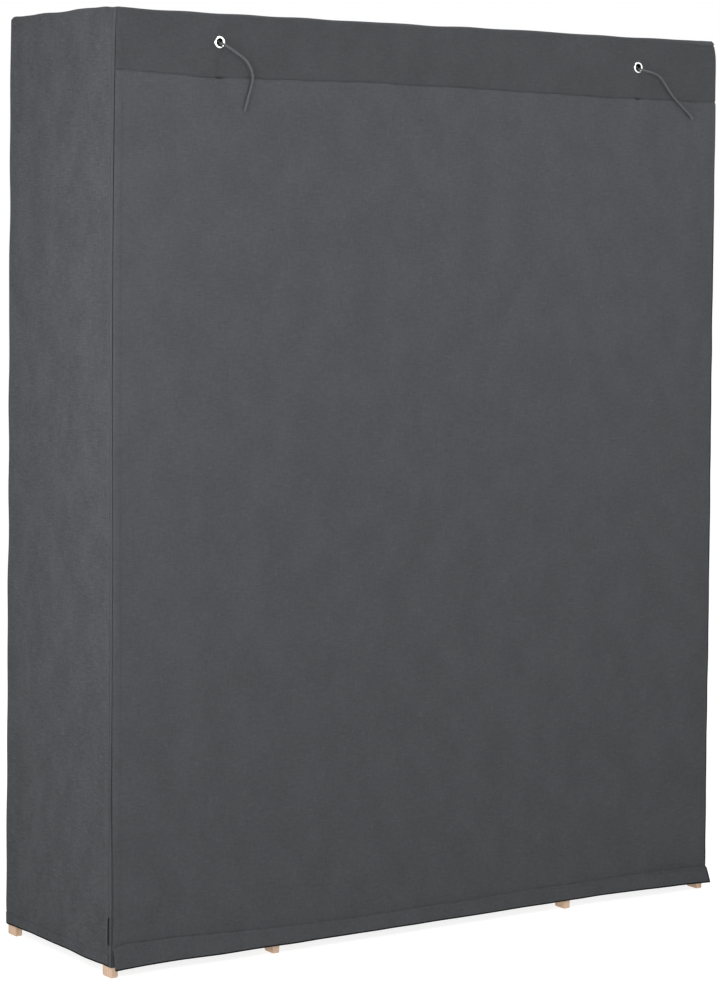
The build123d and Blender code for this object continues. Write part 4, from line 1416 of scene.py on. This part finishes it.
yf_mid, yb_mid = YF + 3.1 + 15, YB - 1.5 - 15
BAYS = {"left": (-664.4, -342.0), "centre": (-328.0, 328.0), "right": (342.0, 664.4)}
seed = 200
for side in ("left", "right"):
    a, b = BAYS[side]
    for level, z in (("lower", 470.0), ("middle", 830.0), ("upper", 1190.0)):
        shelf_cloth(f"{side}_{level}_shelf_cloth", a + 0.8, b - 0.8, z, 28.0, yf_mid - 6, yf_mid + 6, yb_mid - 6, yb_mid + 6,
                    f"{side}_{level}_shelf", seed)
        seed += 2
for side, (a, b) in BAYS.items():
    shelf_cloth(f"{side}_floor_shelf_cloth", a + 0.8, b - 0.8, 90.0, 30.0, yf_mid - 7, yf_mid + 7, yb_mid - 7, yb_mid + 7,
                f"{side}_floor_shelf", seed, dip=3.5 if side != "centre" else 5.0)
    seed += 2


# ------------------------------------------------- wood and metal, from CAD
def finished(node, mat, ease, name=None, segments=2):
    """The CAD node's own solids with eased edges and a grain that runs along each piece."""
    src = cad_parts[node]
    bm = bmesh.new()
    bm.from_mesh(src.data)
    bmesh.ops.remove_doubles(bm, verts=bm.verts, dist=2e-6)
    bmesh.ops.dissolve_limit(bm, angle_limit=math.radians(1.0), verts=bm.verts, edges=bm.edges)
    if ease > 0:
        sharp = []
        for e in bm.edges:
            if len(e.link_faces) == 2 and e.calc_face_angle(0.0) > math.radians(50):
                longest = e.calc_length()
                if longest > 4.5 * MM:
                    sharp.append(e)
        bmesh.ops.bevel(bm, geom=sharp, offset=ease * MM, segments=segments, affect="EDGES", profile=0.6, clamp_overlap=True)
    bmesh.ops.triangulate(bm, faces=[f for f in bm.faces if len(f.verts) > 4])
    bm.verts.ensure_lookup_table()
    # grain coordinates for each solid
    island = [-1] * len(bm.verts)
    groups = []
    for v in bm.verts:
        if island[v.index] >= 0:
            continue
        stack, members = [v], []
        island[v.index] = len(groups)
        while stack:
            w = stack.pop()
            members.append(w.index)
            for e in w.link_edges:
                o = e.other_vert(w)
                if island[o.index] < 0:
                    island[o.index] = len(groups)
                    stack.append(o)
        groups.append(members)
    co = np.array([v.co for v in bm.verts], float)
    grain = np.zeros_like(co)
    rng = np.random.default_rng(sum(map(ord, node)))
    for members in groups:
        p = co[members]
        lo, hi = p.min(0), p.max(0)
        order = np.argsort(-(hi - lo))
        g = (p - (lo + hi) / 2)[:, order]
        g[:, 0] += rng.random() * 7
        g[:, 1] += 0.012 + 0.03 * rng.random()
        g[:, 2] += -0.02 + 0.05 * rng.random()
        grain[members] = g
    if node.endswith(("_post", "_rails")):
        # the topmost ones are a little low, clear of the cloth that sags over them
        for v in bm.verts:
            if v.co.z > 1.69:
                v.co.z -= 0.006
    mesh = bpy.data.meshes.new(name or node + "_eased")
    bm.to_mesh(mesh)
    bm.free()
    mesh.polygons.foreach_set("use_smooth", np.ones(len(mesh.polygons), bool))
    mesh.set_sharp_from_angle(angle=math.radians(34))
    layer = mesh.attributes.new("grain", "FLOAT_VECTOR", "POINT")
    layer.data.foreach_set("vector", grain.astype(np.float32).ravel())
    mesh.materials.append(mat)
    obj = bpy.data.objects.new(name or node + "_eased", mesh)
    link(obj)
    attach(obj, "wardrobe")
    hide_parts(node)
    return obj


for node in list(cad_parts):
    if node.endswith("_post") or node.endswith("_rails") or node.endswith("_battens"):
        finished(node, pine_mat, 1.3 if node.endswith("_post") else 1.0)
    elif node == "hanging_rod":
        finished(node, rod_mat, 1.2)
    elif node == "rod_sockets":
        finished(node, socket_mat, 0.7)
    elif node in ("frame_screws", "rail_bolts", "batten_bolts"):
        finished(node, zinc_mat, 0.0)
    elif node == "rail_dowels":
        finished(node, dowel_mat, 0.0)

# ---------------------------------------------------------------- the stage
bpy.ops.mesh.primitive_plane_add(size=40.0, location=(0, 0, 0))
floor = bpy.context.object
floor.name = "floor"
m, nt, bsdf = nodes_of("pale_floor")
at = add(nt, "ShaderNodeTexCoord").outputs["Object"]
n = noise(nt, scaled(nt, at, (3, 3, 3)), 1.0, 3.0, 0.5)
mix = add(nt, "ShaderNodeMix", data_type="RGBA")
mix.inputs["A"].default_value = (0.40, 0.40, 0.40, 1)
mix.inputs["B"].default_value = (0.42, 0.42, 0.42, 1)
nt.links.new(n, mix.inputs["Factor"])
nt.links.new(mix.outputs["Result"], bsdf.inputs["Base Color"])
bsdf.inputs["Roughness"].default_value = 0.85
bsdf.inputs["Specular IOR Level"].default_value = 0.1
bsdf.inputs["Emission Color"].default_value = (1, 1, 1, 1)
# a light table: it glows a little, and more where the lamps don't reach
far = add(nt, "ShaderNodeVectorMath", operation="LENGTH")
nt.links.new(at, far.inputs[0])
nt.links.new(spread(nt, far.outputs["Value"], 0.9, 2.8, 0.86, 0.94), bsdf.inputs["Emission Strength"])
floor.data.materials.append(m)
floor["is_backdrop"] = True

world = bpy.data.worlds.new("studio")
scene.world = world
world.use_nodes = True
wn = world.node_tree
bg = wn.nodes["Background"]
bg.inputs["Color"].default_value = (1.0, 1.0, 1.0, 1)
# the backdrop is white; what it gives as light is much softer
seen = wn.nodes.new("ShaderNodeLightPath").outputs["Is Camera Ray"]
amount = wn.nodes.new("ShaderNodeMapRange")
amount.inputs["To Min"].default_value = 0.2
amount.inputs["To Max"].default_value = 1.0
wn.links.new(seen, amount.inputs["Value"])
wn.links.new(amount.outputs["Result"], bg.inputs["Strength"])


def area(name, place, aim, size, power, colour=(1, 1, 1)):
    data = bpy.data.lights.new(name, "AREA")
    data.shape = "RECTANGLE"
    data.size, data.size_y = size
    data.energy = power
    data.color = colour
    obj = bpy.data.objects.new(name, data)
    obj.location = place
    obj.rotation_mode = "QUATERNION"
    obj.rotation_quaternion = (Vector(aim) - Vector(place)).to_track_quat("-Z", "Y")
    link(obj)
    return obj


def around(name, turn, height, power, radius=1.9, size=1.0):
    a = math.radians(turn)
    area(name, (radius * math.cos(a), radius * math.sin(a), height), (0, 0, 1.0), (size, size), power)


around("left_soft", 205, 1.5, 21.0)
around("front_soft", 275, 1.5, 14.8)
around("left_low", 205, 0.8, 8.6)
around("right_high", 300, 2.3, 5.6)
around("right_soft", 300, 1.5, 6.5)
around("back_soft", 62, 1.7, 8.0, radius=2.4, size=1.6)
area("top_soft", (-0.1, -0.42, 3.25), (-0.1, -0.15, 1.0), (1.6, 1.5), 42.0)

# -------------------------------------------------------------------- sizes
low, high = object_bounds()
